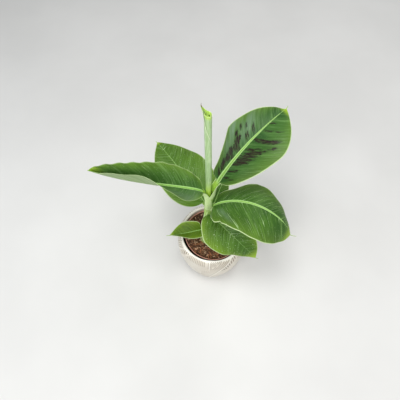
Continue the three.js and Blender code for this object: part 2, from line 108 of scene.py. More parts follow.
LEAVES = dict(
    leaf_back_right=dict(
        LEAF, foot=240, base=(5.7, 8.6, 296), blade=173, heading=34, swing=4, rise=58.5, droop=-49, arch=1.06,
        cup=16, roll=(8, -8), fold_left=(5, 21), fold_right=(23, -4), half=(46.8, 60), peak=(0.48, 0.61),
        lobe=(15, 1), base_power=(1.1, 1.7), tip_power=(1.34, 1.14), drip=(5, 60, 60), rib=(4.2, 0.9, 1.0),
        waves=((1.0, 3.1, 0.2), (0.9, 2.6, 1.1)), nicks=((0, 0.975, 0.028, -4.6),),
        sheath=26, loose=1.9, wrap=(150, 132), clasp=1.15, ring=17,
    ),
    leaf_left=dict(
        LEAF, foot=212, base=(-22.8, -5.2, 284.5), blade=211, heading=203.5, swing=-49, rise=57, droop=-68,
        arch=0.63, cup=3, roll=(10, -27), fold_left=(3.5, 87), fold_right=(61, 63), fold_span=(0.1, 0.62),
        half=(44.8, 41.3), peak=(0.47, 0.45), lobe=(0, 3.5), base_power=(1.6, 1.52), tip_power=(1.09, 1.29),
        drip=(2, 0, 170), rib=(3.0, 0.55, 1.0), waves=((0.6, 5, 0.5), (1.3, 9.5, 0.0)),
        sheath=14, loose=0.1, wrap=(100, 95), clasp=0.9, turn=36, handles=(0.38, 0.30),
    ),
    leaf_right=dict(
        LEAF, foot=209, base=(-0.3, -2.7, 232), blade=186, heading=-12.5, swing=-19.5, rise=54, droop=-124.5,
        arch=1.13, cup=15, roll=(3.5, -15), fold_left=(-3, -7), fold_right=(23, -8), half=(55.5, 66),
        peak=(0.41, 0.52), lobe=(21, 6), base_power=(1.1, 1.96), tip_power=(1.25, 1.4), drip=(15, 5, -3),
        rib=(3.2, 0.36, 0.82), waves=((0.8, 4.4, 2.3), (0.9, 5.7, 2.0)),
        nicks=((1, 0.150, 0.030, 3.4), (1, 0.214, 0.017, -2.4)), loose=0.3, collar=19,
    ),
    leaf_back_left=dict(
        LEAF, foot=174, base=(-18.1, 20.5, 205.5), blade=162, heading=132, swing=-8, rise=31, droop=-39.5,
        cup=17, roll=(-4, 0), fold_left=(12, 5), fold_right=(25, -3.5), half=(51.7, 52.8), peak=(0.37, 0.35),
        lobe=(0, 3), base_power=(2.2, 2.2), tip_power=(0.94, 1.27), drip=(4, 15, 150), rib=(0.7, 0.8, 1.0),
        waves=((0.8, 4.2, 0.4), (1.0, 2.7, 0.9)),
    ),
    leaf_front=dict(
        LEAF, foot=166, base=(-7.7, -7.7, 206), blade=138.5, heading=-61, swing=46, rise=54, droop=-113,
        arch=0.55, cup=18, roll=(-2, 36), fold_left=(20, 23), fold_right=(22, -30), half=(40.8, 45.4),
        peak=(0.31, 0.3), lobe=(3, 4), base_power=(1.42, 1.3), tip_power=(1.14, 1.1), drip=(7, 0, -8),
        rib=(0.8, 0.7, 1.0), waves=((0.9, 3.2, 0.1), (0.7, 3.9, 1.7)),
    ),
    leaf_small_back=dict(
        LEAF, foot=136, base=(-4.3, 14.3, 172), blade=90, heading=68, swing=2, rise=28, droop=-40, cup=10,
        roll=(0, 0), fold_left=(16, 12), fold_right=(16, 12), half=(19, 19), peak=(0.5, 0.5), lobe=(0, 0),
        base_power=(2.3, 2.3), tip_power=(1.2, 1.2), drip=(3, 0, 70), rib=(1.0, 0.8, 1.0),
        waves=((0.4, 2.8, 0.3), (0.4, 3.3, 0.0)), sheath=10, wrap=(95, 88),
    ),
    leaf_small_left=dict(
        LEAF, foot=116, base=(-23, -4.1, 135.2), blade=68.5, heading=200, swing=-17, rise=9, droop=-19,
        cup=-2, roll=(-10.5, 16.5), fold_left=(11, 46), fold_right=(32, 18.5), half=(20.1, 22.9),
        peak=(0.42, 0.48), lobe=(3.5, 3.5), base_power=(2.6, 2.5), tip_power=(0.94, 0.85), drip=(6, 5, 184),
        rib=(0.8, 0.7, 1.0), waves=((0.3, 2.2, 0.8), (0.4, 2.9, 0.2)), sheath=10, wrap=(95, 88),
    ),
)
# root, tip_width: share of a blade over which its width leaves that of the stalk, and the least width.
# lobe_rise, lobe_fade: where the lobes at its base are full, and how soon they are lost.
# edge: how far its edge is rounded. vein_lean, vein_bend, vein_spacing: how the veins run.
BLADE = dict(
    root=0.25, tip_width=0.5, lobe_rise=0.025, lobe_fade=0.14, rows=170, columns=34, thickness=0.45,
    edge=0.4, vein_lean=0.62, vein_bend=0.28, vein_spacing=8.5,
)
# neck, curl: half-width of a stalk, and how steeply its sides stand. slope: of its foot on the stem.
# open_from, open_to: from where to where past the blade's base it opens. clear: its distance from the stem.
STALK = dict(
    neck=5.6, curl=66, slope=84, open_from=-9, open_to=3, wall=1.2, rows=44, sheath_rows=14, clear=0.1,
)
# A blade as long as this has a stalk of full size, and the smallest leaves keep a share of it
FULL_SIZE = 160
LEAST_SHARE = 0.25

# Looks of the open leaves. greens: dark, light and along the veins. gloss: roughness of the blade.
# lines, specks: how strongly painted highlight lines and pale dots show. midrib: its brightness, and how
# strongly it shows.
# margin, yellow: how pale the margin is, and how yellow the blade turns towards it.
# ripe_from: where along the blade its tip begins to yellow.
LEAF_LOOK = dict(gloss=0.42, midrib=(1.0, 1.0), margin=1.0, ripe_from=0.93)
LEAF_LOOKS = dict(
    leaf_back_right=dict(
        LEAF_LOOK, greens=((0.020, 0.074, 0.014), (0.041, 0.124, 0.019), (0.11, 0.24, 0.06)), gloss=0.34,
        painted_highlight_lines=0.25, specks=0.1, yellow=0.2, midrib=(0.86, 1.0), margin=0.9,
    ),
    leaf_left=dict(
        LEAF_LOOK, greens=((0.040, 0.120, 0.020), (0.074, 0.185, 0.030), (0.17, 0.33, 0.10)), gloss=0.40,
        painted_highlight_lines=0.38, specks=0.5, yellow=0.25, midrib=(1.25, 0.85), margin=0.3, ripe_from=0.82,
    ),
    leaf_right=dict(
        LEAF_LOOK, greens=((0.026, 0.086, 0.009), (0.052, 0.142, 0.015), (0.13, 0.27, 0.05)), gloss=0.40,
        painted_highlight_lines=0.85, specks=0.35, yellow=0.2, ripe_from=0.86,
    ),
    leaf_back_left=dict(
        LEAF_LOOK, greens=((0.056, 0.140, 0.012), (0.090, 0.200, 0.019), (0.16, 0.31, 0.07)),
        painted_highlight_lines=0.8, specks=0.4, yellow=0.15, midrib=(1.0, 0.8), margin=0.65,
    ),
    leaf_front=dict(
        LEAF_LOOK, greens=((0.036, 0.104, 0.009), (0.076, 0.172, 0.018), (0.14, 0.29, 0.06)),
        painted_highlight_lines=0.6, specks=0.9, yellow=0.45, midrib=(0.85, 0.55), margin=0.9, ripe_from=0.80,
    ),
    leaf_small_back=dict(
        LEAF_LOOK, greens=((0.050, 0.140, 0.014), (0.09, 0.20, 0.022), (0.14, 0.28, 0.06)),
        painted_highlight_lines=0.4, specks=0.3, yellow=0.15,
    ),
    leaf_small_left=dict(
        LEAF_LOOK, greens=((0.062, 0.135, 0.006), (0.098, 0.185, 0.009), (0.15, 0.27, 0.02)),
        painted_highlight_lines=0.25, specks=0.1, yellow=0.6, ripe_from=0.8,
    ),
)
# Maroon patches, strongest on the newest open leaf. Each spot on a blade has its place along the blade, its
# distance from the midrib (left is above 0), its reach across and along the blade, and its strength.
PATCH_STRENGTH = 2.15
PATCHES = dict(
    leaf_back_right=(
        (0.587, -7, 6, 2.0, 1), (0.609, -16.5, 8, 3.2, 1), (0.632, -24, 7, 3.6, 1),
        (0.672, -32, 6, 4.5, 1), (0.496, -23.5, 9, 3.2, 1), (0.466, -20.5, 10, 3.4, 1),
        (0.413, -17, 11, 4.2, 1), (0.368, -16.5, 11, 4.2, 1), (0.325, -15.5, 9, 3.8, 1),
        (0.473, -11.5, 7, 2.6, 1), (0.27, -9, 8, 2.4, 0.9), (0.527, -21, 5, 1.6, 0.8),
        (0.557, -32.5, 3, 1.8, 0.8), (0.609, -38.5, 5, 1.6, 0.8), (0.639, -41, 3, 2.2, 0.9),
        (0.197, -12.4, 6, 2.0, 0.95), (0.235, -17.4, 4, 1.6, 0.9), (0.10, -10, 5, 2.0, 0.9),
        (0.127, -20, 4, 1.6, 0.8), (0.451, 18, 5.5, 7.0, 1), (0.405, 13, 5.5, 7.5, 1),
        (0.398, 5, 5, 3.2, 0.9), (0.318, 13.7, 5, 7, 1), (0.275, 12, 5, 7, 1),
        (0.197, 12, 4.5, 6.5, 0.95), (0.155, 10, 4.5, 5.5, 0.95), (0.076, 7.4, 6, 3.5, 0.9),
        (0.296, 5, 4, 3.5, 0.85), (0.564, 29.4, 4, 3.0, 0.72), (0.609, 24.4, 4, 2.5, 0.72),
        (0.639, 12, 6, 3.2, 0.72), (0.549, 11, 6, 4.0, 0.78), (0.49, 27, 5, 3.5, 0.75),
        (0.797, -5, 5, 2.0, 0.7), (0.718, -11, 6, 2.5, 0.7), (0.778, -25, 5, 2.0, 0.68),
    ),
    leaf_small_left=((0.52, -13.5, 4, 4, 0.3), (0.40, -17, 5, 4, 0.3), (0.64, -10, 3, 3, 0.26)),
)
# Painted sheen: dull bluish patches on the upper side, in place of a reflection of the sky
PAINTED_SHEENS = dict(
    leaf_back_right=(
        (0.50, 38, 14, 12, 0.75), (0.55, 22, 12, 8, 0.55), (0.65, 24, 12, 9, 0.7), (0.38, 30, 10, 12, 0.5),
    ),
    leaf_right=((0.20, -31, 12, 6, 0.5), (0.26, -40, 10, 6, 0.4)),
    leaf_left=((0.20, 24, 14, 12, 0.6), (0.32, 30, 12, 14, 0.6)),
)

# Colours, in pairs where a surface runs from one to the other. The midrib has a third, for its sides
LEAF_PAINT = dict(
    # The pale line colour is for painted highlights along the veins
    hollow=(0.018, 0.068, 0.006), ripe=(0.30, 0.46, 0.03), line=(0.36, 0.52, 0.24), speck=(0.55, 0.66, 0.42),
    # The bluish colour next is a painted sheen
    painted_sheen=(0.16, 0.25, 0.16), near_patch=(0.030, 0.066, 0.016), margin=(0.56, 0.70, 0.36),
    patch=((0.030, 0.022, 0.010), (0.008, 0.005, 0.004)),
    midrib=((0.19, 0.39, 0.06), (0.27, 0.50, 0.10), (0.44, 0.70, 0.25)),
    under=((0.23, 0.35, 0.14), (0.35, 0.46, 0.24)), under_vein=(0.20, 0.33, 0.10), keel=(0.42, 0.64, 0.11),
    channel=((0.30, 0.52, 0.06), (0.42, 0.62, 0.11)), stalk=((0.55, 0.73, 0.31), (0.68, 0.84, 0.45)),
    stalk_foot=((0.30, 0.50, 0.10), (0.48, 0.66, 0.22)),
)
# The dark green is painted shade in the stem's seams and the rolled leaf's mouth, and also the drying tail's
# darker top
STEM_PAINT = dict(bloom=(0.70, 0.84, 0.55), seam=(0.075, 0.145, 0.012), rim=(0.76, 0.86, 0.60))
# Of the rolled leaf and of the stem's sheaths: green, its paler streaks, and yellower at the top or the foot
ROLLED_GREENS = (0.35, 0.53, 0.23), (0.47, 0.63, 0.36), (0.50, 0.74, 0.06)
SHEATH_GREENS = (0.36, 0.57, 0.14), (0.50, 0.70, 0.28), (0.30, 0.40, 0.10)
# Glaze colours. The ridges' colour is a painted highlight, the hollows' colour browner glaze under painted
# shade, and the two inside colours paint shade that deepens going down
GLAZE = dict(
    body=((0.685, 0.632, 0.545), (0.75, 0.71, 0.625)), hollow=(0.27, 0.22, 0.16), raised=(0.93, 0.90, 0.83),
    inside=(0.72, 0.64, 0.52), depth=(0.040, 0.028, 0.020), speck=(0.60, 0.50, 0.38),
)
# Colours of the plastic: its body, dust of dried mix, and a dark brown that paints shade over the pot's outer
# side
PLASTIC = dict(
    body=((0.60, 0.27, 0.20), (0.80, 0.45, 0.35)), grain=(0.60, 0.40, 0.32), painted_shade=(0.030, 0.016, 0.012),
)
FLOOR_GREYS = (0.69, 0.69, 0.68), (0.74, 0.74, 0.73)
DRY_TIP = (0.07, 0.035, 0.018), (0.26, 0.15, 0.07)
MIX_BED = (0.018, 0.008, 0.004), (0.15, 0.070, 0.032)
COIR = (0.24, 0.12, 0.055), (0.46, 0.29, 0.165)
COIR_COUNT = 420
# Crumbs of bark: how many are strewn, their colours, and their least and greatest length
BARK = dict(
    bark_dark=(520, ((0.040, 0.019, 0.011), (0.16, 0.080, 0.046)), (4.0, 9.0)),
    bark_red=(420, ((0.19, 0.070, 0.030), (0.46, 0.20, 0.095)), (3.5, 8.5)),
    bark_pale=(150, ((0.34, 0.19, 0.11), (0.70, 0.50, 0.34)), (3.0, 7.5)),
)

# Floor, lights and camera, in metres. SKY: its colour and strength. Of each light: place, size, power, colour
FLOOR = 14
SKY = (0.97, 0.985, 1.0, 1), 0.36
LIGHT_AIM = (0, 0, 0.22)
LIGHTS = dict(
    softbox=((-0.45, -1.05, 1.35), 0.9, 13, (1.0, 0.985, 0.955)),
    overhead=((-0.12, -0.22, 1.65), 0.55, 9, (1.0, 0.99, 0.97)),
    fill=((1.25, -0.7, 0.9), 0.9, 4.8, (1.0, 0.99, 0.98)),
    window=((-1.45, -0.2, 0.95), 0.9, 4.5, (0.86, 0.94, 1.0)),
    back=((0.7, 1.1, 1.3), 0.8, 5.5, (1.0, 0.99, 0.97)),
)
CAMERA = dict(place=(-0.02635, -0.39868, 0.910), tip=31, lens=37.8, sensor=36)


def smooth(t):
    """Rises from 0 to 1 with level ends, and stays there."""
    c = np.clip(t, 0.0, 1.0)
    return c * c * (3 - 2 * c)


def both_ends(t, reach):
    """Rises smoothly from 0 at each end of a blade to 1 within it."""
    return smooth(t / reach) * smooth((1 - t) / reach)


def blend(a, b, t):
    """Runs evenly from a to b while t goes from 0 to 1."""
    return a + (b - a) * t


def bell(distance):
    """1 where the distance is 0, and soon 0 on both sides of it."""
    return np.exp(-(distance**2))


def wrapped(angle):
    """The angle brought within half a turn of 0."""
    return np.arctan2(np.sin(angle), np.cos(angle))


def unit(vectors):
    return vectors / np.maximum(np.linalg.norm(vectors, axis=-1, keepdims=True), 1e-9)


def level_way(bearing):
    """Level unit vector at a bearing in degrees."""
    return np.array([math.cos(math.radians(bearing)), math.sin(math.radians(bearing)), 0])


def joined(*parts):
    """Vectors from their three parts, each a number or an array."""
    return np.stack(np.broadcast_arrays(*parts), -1)


def round_axis(radius, angle, z, middle=(0, 0)):
    """Points round an upright axis."""
    return joined(middle[0] + radius * np.cos(angle), middle[1] + radius * np.sin(angle), z)


def full_turn(count):
    """Angles evenly round an axis, in radians."""
    return np.linspace(-np.pi, np.pi, count, endpoint=False)


def noise_table(rng, size=64):
    return rng.random((size, size))


def soft_noise(table, x, y):
    """Smooth noise from 0 to 1 over a repeating table, at the places x, y."""
    size = table.shape[0]
    x0 = np.floor(x).astype(int)
    y0 = np.floor(y).astype(int)
    fx = smooth(x - x0)
    fy = smooth(y - y0)
    low = blend(table[x0 % size, y0 % size], table[(x0 + 1) % size, y0 % size], fx)
    high = blend(table[x0 % size, (y0 + 1) % size], table[(x0 + 1) % size, (y0 + 1) % size], fx)
    return blend(low, high, fy)


def normals_of(grid):
    """Unit normals of a grid of points, from its rows and columns."""
    return unit(np.cross(np.gradient(grid, axis=0), np.gradient(grid, axis=1)))


def loft_faces(rows, count):
    """Quads over a grid of closed rings of points, ring by ring."""
    here = np.arange(rows - 1)[:, None] * count
    columns = np.arange(count)
    after = (columns + 1) % count
    quads = np.stack([here + columns, here + after, here + count + after, here + count + columns], axis=2)
    return quads.reshape(-1, 4).tolist()


def turned_outwards(points, faces):
    """The faces in the order that turns a closed skin's normals outwards."""
    p = np.reshape(points, (-1, 3))
    quads = np.array([f for f in faces if len(f) == 4])
    volume = 0.0
    for a, b, c in ((0, 1, 2), (0, 2, 3)):
        volume += np.einsum("ij,ij->", p[quads[:, a]], np.cross(p[quads[:, b]], p[quads[:, c]]))
    return faces if volume > 0 else [f[::-1] for f in faces]


def tube_faces(grid):
    """Faces of a skin over a grid of rings, with a cap at each end."""
    rows, count = grid.shape[:2]
    faces = loft_faces(rows, count)
    faces.append(list(range(count))[::-1])
    faces.append(list(range((rows - 1) * count, rows * count)))
    return turned_outwards(grid, faces)


def sheet_faces(grid, edged):
    """Faces of a thick sheet from the rings round it, each over its top and back underneath. edged is 1
    where a ring also has a point on each of the sheet's two edges, and otherwise 0."""
    rows, count = grid.shape[:2]
    columns = count // 2 - edged
    faces = loft_faces(rows, count)
    for start in (0, (rows - 1) * count):
        last = start + 2 * columns - 1 + edged
        ends = [[start + k, start + k + 1, last - 1 - k, last - k] for k in range(columns - 1)]
        if edged:
            ends.append([start + columns - 1, start + columns, start + columns + 1])
            ends.append([last, last + 1, start])
        faces += ends if start else [f[::-1] for f in ends]
    return turned_outwards(grid, faces)


def make_piece(name, points, faces, material, nodes=(), fields=None, flat=False):
    """A mesh from points in millimetres. fields are vectors for each point, which its material reads."""
    mesh = bpy.data.meshes.new(name)
    mesh.from_pydata((np.reshape(points, (-1, 3)) * MM).tolist(), [], faces)
    mesh.validate()
    mesh.update()
    mesh.polygons.foreach_set("use_smooth", [not flat] * len(mesh.polygons))
    for key, values in (fields or {}).items():
        layer = mesh.attributes.new(key, "FLOAT_VECTOR", "POINT")
        layer.data.foreach_set("vector", np.asarray(values, np.float32).ravel())
    mesh.materials.append(material)
    piece = bpy.data.objects.new(name, mesh)
    bpy.context.scene.collection.objects.link(piece)
    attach(piece, "root")
    if nodes:
        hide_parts(*nodes)


# Materials


class Look:
    """A material's node tree, with short calls for the nodes that the materials here share. ground is its
    colour so far, which takes one coat after another."""

    def __init__(self, name):
        self.material = bpy.data.materials.new(name)
        self.material.use_nodes = True
        self.tree = self.material.node_tree
        self.shader = self.tree.nodes["Principled BSDF"]
        self.place = self.node("TexCoord").outputs["Object"]
        self.ground = None

    def node(self, kind, inputs=None, **settings):
        made = self.tree.nodes.new("ShaderNode" + kind)
        for key, value in settings.items():
            setattr(made, key, value)
        for key, value in (inputs or {}).items():
            self.put(made.inputs[key], value)
        return made

    def put(self, socket, value):
        """Links an output to the socket, or sets it to a number, a vector or an opaque colour."""
        if isinstance(value, bpy.types.NodeSocket):
            self.tree.links.new(value, socket)
        else:
            socket.default_value = (*value, 1) if socket.type == "RGBA" else value

    def math(self, operation, a, b=0.0):
        return self.node("Math", {0: a, 1: b}, operation=operation).outputs[0]

    def times(self, a, b):
        return self.math("MULTIPLY", a, b)

    def ramp(self, value, low, high, most=1.0):
        """Rises smoothly from 0 where the value is low to most where it is high."""
        limits = {"Value": value, "From Min": low, "From Max": high, "To Max": most}
        return self.node("MapRange", limits, interpolation_type="SMOOTHSTEP").outputs["Result"]

    def span(self, value, low, high):
        """Runs evenly from low to high while the value goes from 0 to 1."""
        return self.node("MapRange", {"Value": value, "To Min": low, "To Max": high}).outputs["Result"]

    def mix(self, share, a, b):
        return self.node("Mix", {0: share, 6: a, 7: b}, data_type="RGBA").outputs[2]

    def shades(self, value, pair, low=0.3, high=0.7):
        """Runs from one colour of the pair to the other."""
        return self.mix(self.ramp(value, low, high), *pair)

    def coat(self, share, colour):
        self.ground = self.mix(share, self.ground, colour)

    def field(self, name):
        """A vector field of the mesh, and its three parts."""
        found = self.node("Attribute", attribute_name=name).outputs["Vector"]
        return (found, *self.node("SeparateXYZ", {0: found}).outputs)

    def noise(self, place, scale, detail=3.0, rough=0.5):
        """Noise of a scale that is one number, or one for each axis."""
        if isinstance(scale, tuple):
            place = self.node("Mapping", {"Vector": place, "Scale": scale}).outputs[0]
            scale = 1.0
        inputs = {"Vector": place, "Scale": scale, "Detail": detail, "Roughness": rough}
        return self.node("TexNoise", inputs).outputs["Fac"]

    def bump(self, height, strength, distance):
        inputs = {"Height": height, "Strength": strength, "Distance": distance}
        self.put(self.shader.inputs["Normal"], self.node("Bump", inputs).outputs[0])

    def finish(self, roughness, specular):
        self.put(self.shader.inputs["Base Color"], self.ground)
        self.put(self.shader.inputs["Roughness"], roughness)
        self.shader.inputs["Specular IOR Level"].default_value = specular
        return self.material


def leaf_look(name, want):
    """Upper side and pale underside of a leaf. Its fields: marks has the midrib, the margin and the stalk;
    tint has the maroon patches, the yellow of tip and margin and the underside; veins has the distances from
    the midrib and along the veins, in metres, and a painted bluish sheen on the blade, which on the stalk is
    the share of its yellower foot. Its thin pale lines along the veins are painted highlights."""
    look = Look("green_" + name)
    paint = LEAF_PAINT
    dark, light, along_veins = want["greens"]
    _, rib, margin, stalk = look.field("marks")
    _, patch, yellowing, under = look.field("tint")
    veins, _, _, painted_sheen = look.field("veins")
    clouds = look.noise(look.place, 22.0, 2.0)
    broad = look.noise(veins, (12.0, 110.0, 1.0), 2.0)
    fine = look.noise(veins, (42.0, 430.0, 1.0), 3.0, 0.7)
    broken = look.noise(veins, (32.0, 150.0, 1.0), 1.0)

    look.ground = look.shades(clouds, (dark, light))
    look.coat(look.ramp(broad, 0.45, 0.75, 0.45), along_veins)
    look.coat(look.ramp(fine, 0.52, 0.72, 0.55), along_veins)
    look.coat(look.ramp(fine, 0.48, 0.32, 0.6), paint["hollow"])
    look.coat(yellowing, paint["ripe"])
    # Thin pale lines along the veins: painted highlights where the lamina folds
    apart = look.math("ABSOLUTE", look.math("SUBTRACT", look.noise(veins, (7.0, 190.0, 1.0), 0.0), 0.5))
    line = look.times(look.ramp(apart, 0.026, 0.006), look.ramp(broken, 0.50, 0.60, want["painted_highlight_lines"]))
    look.coat(line, paint["line"])
    look.coat(look.ramp(look.noise(look.place, 620.0, 1.0), 0.69, 0.76, want["specks"]), paint["speck"])
    # Painted sheen: a dull bluish cast over the given spots
    look.coat(look.times(painted_sheen, look.ramp(broken, 0.2, 0.6)), paint["painted_sheen"])

    # The patches are streaked along the veins, and broken by them
    streaks = look.noise(veins, (170.0, 560.0, 1.0), 4.0, 0.75)
    gaps = look.ramp(look.noise(veins, (60.0, 620.0, 1.0), 2.0, 0.6), 0.38, 0.46)
    worn = look.ramp(look.math("ADD", look.times(streaks, 5.0), patch), 3.36, 3.54)
    look.coat(look.ramp(patch, 0.2, 1.0, 0.45), paint["near_patch"])
    stained = look.times(look.times(worn, gaps), look.ramp(patch, 0.1, 0.4))
    look.coat(stained, look.shades(streaks, paint["patch"], 0.35, 0.65))

    gain, share = want["midrib"]
    centre, fresh, sides = (tuple(min(1.0, part * gain) for part in colour) for colour in paint["midrib"])
    ribbed = look.mix(look.ramp(rib, 0.78, 0.42), look.shades(fine, (centre, fresh)), sides)
    look.coat(look.ramp(rib, 0.0, 0.22, share), ribbed)
    below = look.shades(broad, paint["under"])
    below = look.mix(look.ramp(fine, 0.45, 0.3, 0.4), below, paint["under_vein"])
    look.coat(under, look.mix(look.ramp(rib, 0.0, 0.2), below, paint["keel"]))
    # On the stalk, the sheen's field holds the share of the stalk's yellower foot instead
    outside = look.mix(painted_sheen, look.shades(fine, paint["stalk"]), look.shades(fine, paint["stalk_foot"]))
    look.coat(stalk, look.mix(under, look.shades(clouds, paint["channel"]), outside))
    look.coat(look.times(margin, want["margin"]), paint["margin"])
    look.bump(look.math("ADD", fine, look.times(broad, 0.8)), 0.35, 0.0003)
    rough = look.span(broad, want["gloss"], want["gloss"] + 0.16)
    return look.finish(look.math("ADD", rough, look.times(under, 0.15)), 0.22)


def stem_look(name, green, pale, low):
    """Leaf sheaths, streaked lengthwise. Its field marks has the sheaths' rims and margins, the yellower
    green of the foot or the top, and painted shade in the seams; on the rolled leaf it has painted shade
    inside the mouth and along the margin's step, and the darker top of the drying tail."""
    look = Look(name)
    _, rim, foot, seam = look.field("marks")
    streaks = look.noise(look.place, (520.0, 520.0, 14.0), 3.0, 0.6)
    look.ground = look.shades(streaks, (green, pale), 0.35, 0.65)
    look.coat(look.ramp(look.noise(look.place, 60.0), 0.45, 0.75, 0.5), STEM_PAINT["bloom"])
    look.coat(foot, low)
    # Painted shade in the seams, and on the rolled leaf also the drying tail's darker top
    look.coat(seam, STEM_PAINT["seam"])
    look.coat(rim, STEM_PAINT["rim"])
    look.bump(streaks, 0.3, 0.0003)
    return look.finish(look.span(streaks, 0.35, 0.5), 0.35)


def glaze_look():
    """Satin off-white glaze, with painted highlights on the ribs of the relief and on the lip, and browner,
    with painted shade, in its hollows. Inside the pot it is painted darker going down, as shade.
    """
    look = Look("satin_glaze")
    _, raised, hollow, inside = look.field("marks")
    clouds = look.noise(look.place, 30.0)
    look.ground = look.shades(clouds, GLAZE["body"], 0.35, 0.7)
    # Browner glaze with painted shade in the grooves and hollows
    look.coat(look.times(hollow, 0.9), GLAZE["hollow"])
    # Painted highlights on the ribs and on the lip
    look.coat(look.times(raised, 0.9), GLAZE["raised"])
    # Painted shade inside the pot, darkening going down
    look.coat(look.ramp(inside, 0.0, 0.5), GLAZE["inside"])
    look.coat(look.ramp(inside, 0.55, 0.8), GLAZE["depth"])
    look.coat(look.ramp(look.noise(look.place, 900.0, 2.0), 0.66, 0.74, 0.25), GLAZE["speck"])
    look.bump(look.noise(look.place, 260.0, 4.0), 0.12, 0.0004)
    return look.finish(look.span(clouds, 0.36, 0.5), 0.5)


def plastic_look():
    """Matt terracotta-coloured plastic, dusty with dried mix, with painted shade darkening its outer side."""
    look = Look("terracotta_plastic")
    dust = look.noise(look.place, 140.0, 4.0, 0.6)
    grain = look.noise(look.place, 1400.0, 2.0)
    look.ground = look.shades(dust, PLASTIC["body"], 0.35, 0.7)
    look.coat(look.ramp(grain, 0.6, 0.75, 0.4), PLASTIC["grain"])
    # Painted shade over the whole outer side
    look.coat(look.field("marks")[1], PLASTIC["painted_shade"])
    look.bump(grain, 0.15, 0.0002)
    return look.finish(look.span(dust, 0.5, 0.75), 0.4)


def mix_look(name, pair):
    """One kind of crumb of the potting mix, in a dark and a light colour."""
    look = Look(name)
    grain = look.noise(look.place, 500.0, 4.0, 0.65)
    look.ground = look.shades(grain, pair)
    look.coat(look.ramp(look.noise(look.place, 90.0, 2.0), 0.5, 0.75, 0.4), pair[0])
    look.bump(grain, 0.7, 0.0008)
    return look.finish(look.span(grain, 0.75, 0.95), 0.25)


# Stem and rolled leaf: centre and radius at a height


def stem_at(z):
    t = (np.asarray(z, float) - SOIL_TOP) / (STEM["top"][2] - SOIL_TOP)
    centre = joined(*(blend(a, b, t) for a, b in zip(STEM["foot"], STEM["top"])), z)
    flare = STEM["flare"] * np.exp(-STEM["fade"] * np.clip(t, 0, None))
    return centre, blend(STEM["foot_radius"], STEM["top_radius"], t) + flare


def spear_at(z):
    t = (np.asarray(z, float) - STEM["top"][2]) / (SPEAR["top"][2] - STEM["top"][2])
    centre = joined(*(blend(a, b, t) for a, b in zip(STEM["top"], SPEAR["top"])))
    return centre, blend(SPEAR["foot_radius"], SPEAR["top_radius"], smooth(2 * t))


def core_at(z):
    return stem_at(z) if z < STEM["top"][2] else spear_at(z)


# Leaves


def axes_of(slope, bearing):
    """Unit vectors along and across a leaf and up from it, from its slope and bearing in degrees."""
    slope = np.radians(slope)
    bearing = np.radians(bearing)
    along = joined(np.cos(slope) * np.cos(bearing), np.cos(slope) * np.sin(bearing), np.sin(slope))
    across = joined(-np.sin(bearing), np.cos(bearing), 0 * slope)
    return along, across, np.cross(along, across)


def blade_axes(leaf, t):
    """The blade's axes at a share of its length."""
    t = np.asarray(t, float)
    return axes_of(leaf["rise"] + leaf["droop"] * t ** leaf["arch"], leaf["heading"] + leaf["swing"] * t)


def half_width(leaf, half, t):
    """Width of the blade's left (0) or right (1) half at a share of its length."""
    rising = np.sqrt(np.clip(t / BLADE["lobe_rise"], 0, 1))
    lobe = leaf["lobe"][half] * rising * bell(t / BLADE["lobe_fade"])
    peak = leaf["peak"][half]
    power = leaf["base_power"][half]
    before = (1 - np.clip((peak - t) / peak, 0, 1) ** power) ** (1 / power)
    past = np.clip((t - peak) / (1 - peak), 0, 1)
    after = (1 - past * past) ** (1 / leaf["tip_power"][half])
    width = lobe + leaf["half"][half] * np.where(t < peak, before, after)
    for on, at, reach, amount in leaf["nicks"]:
        if on == half:
            width = width + amount * bell((t - at) / reach)
    return np.maximum(width, 0)


def along_vein(past, away, share):
    """Where along the midrib the vein through a point starts. The veins leave the midrib forwards and bend
    towards the tip near the margin."""
    return past - BLADE["vein_lean"] * away - BLADE["vein_bend"] * away * share


def stalk_line(leaf):
    """The four handles of the stalk's curve, and the bearing at which it parts from the stem."""
    base = np.array(leaf["base"], float)
    centre, radius = core_at(leaf["foot"])
    outward = base - core_at(base[2])[0]
    bearing = math.degrees(math.atan2(outward[1], outward[0])) + leaf["turn"]
    foot = centre + level_way(bearing) * (radius + STALK["clear"] + leaf["loose"])
    distance = np.linalg.norm(foot - base)
    near, far = leaf["handles"]
    parting = axes_of(STALK["slope"], bearing)[0]
    along = blade_axes(leaf, 0)[0]
    return (foot, foot + parting * near * distance, base - along * far * distance, base), bearing


def bezier(handles, u):
    a, b, c, d = handles
    u = u[:, None]
    point = a * (1 - u) ** 3 + 3 * b * u * (1 - u) ** 2 + 3 * c * u * u * (1 - u) + d * u**3
    slope = 3 * (b - a) * (1 - u) ** 2 + 6 * (c - b) * u * (1 - u) + 3 * (d - c) * u * u
    return point, unit(slope)


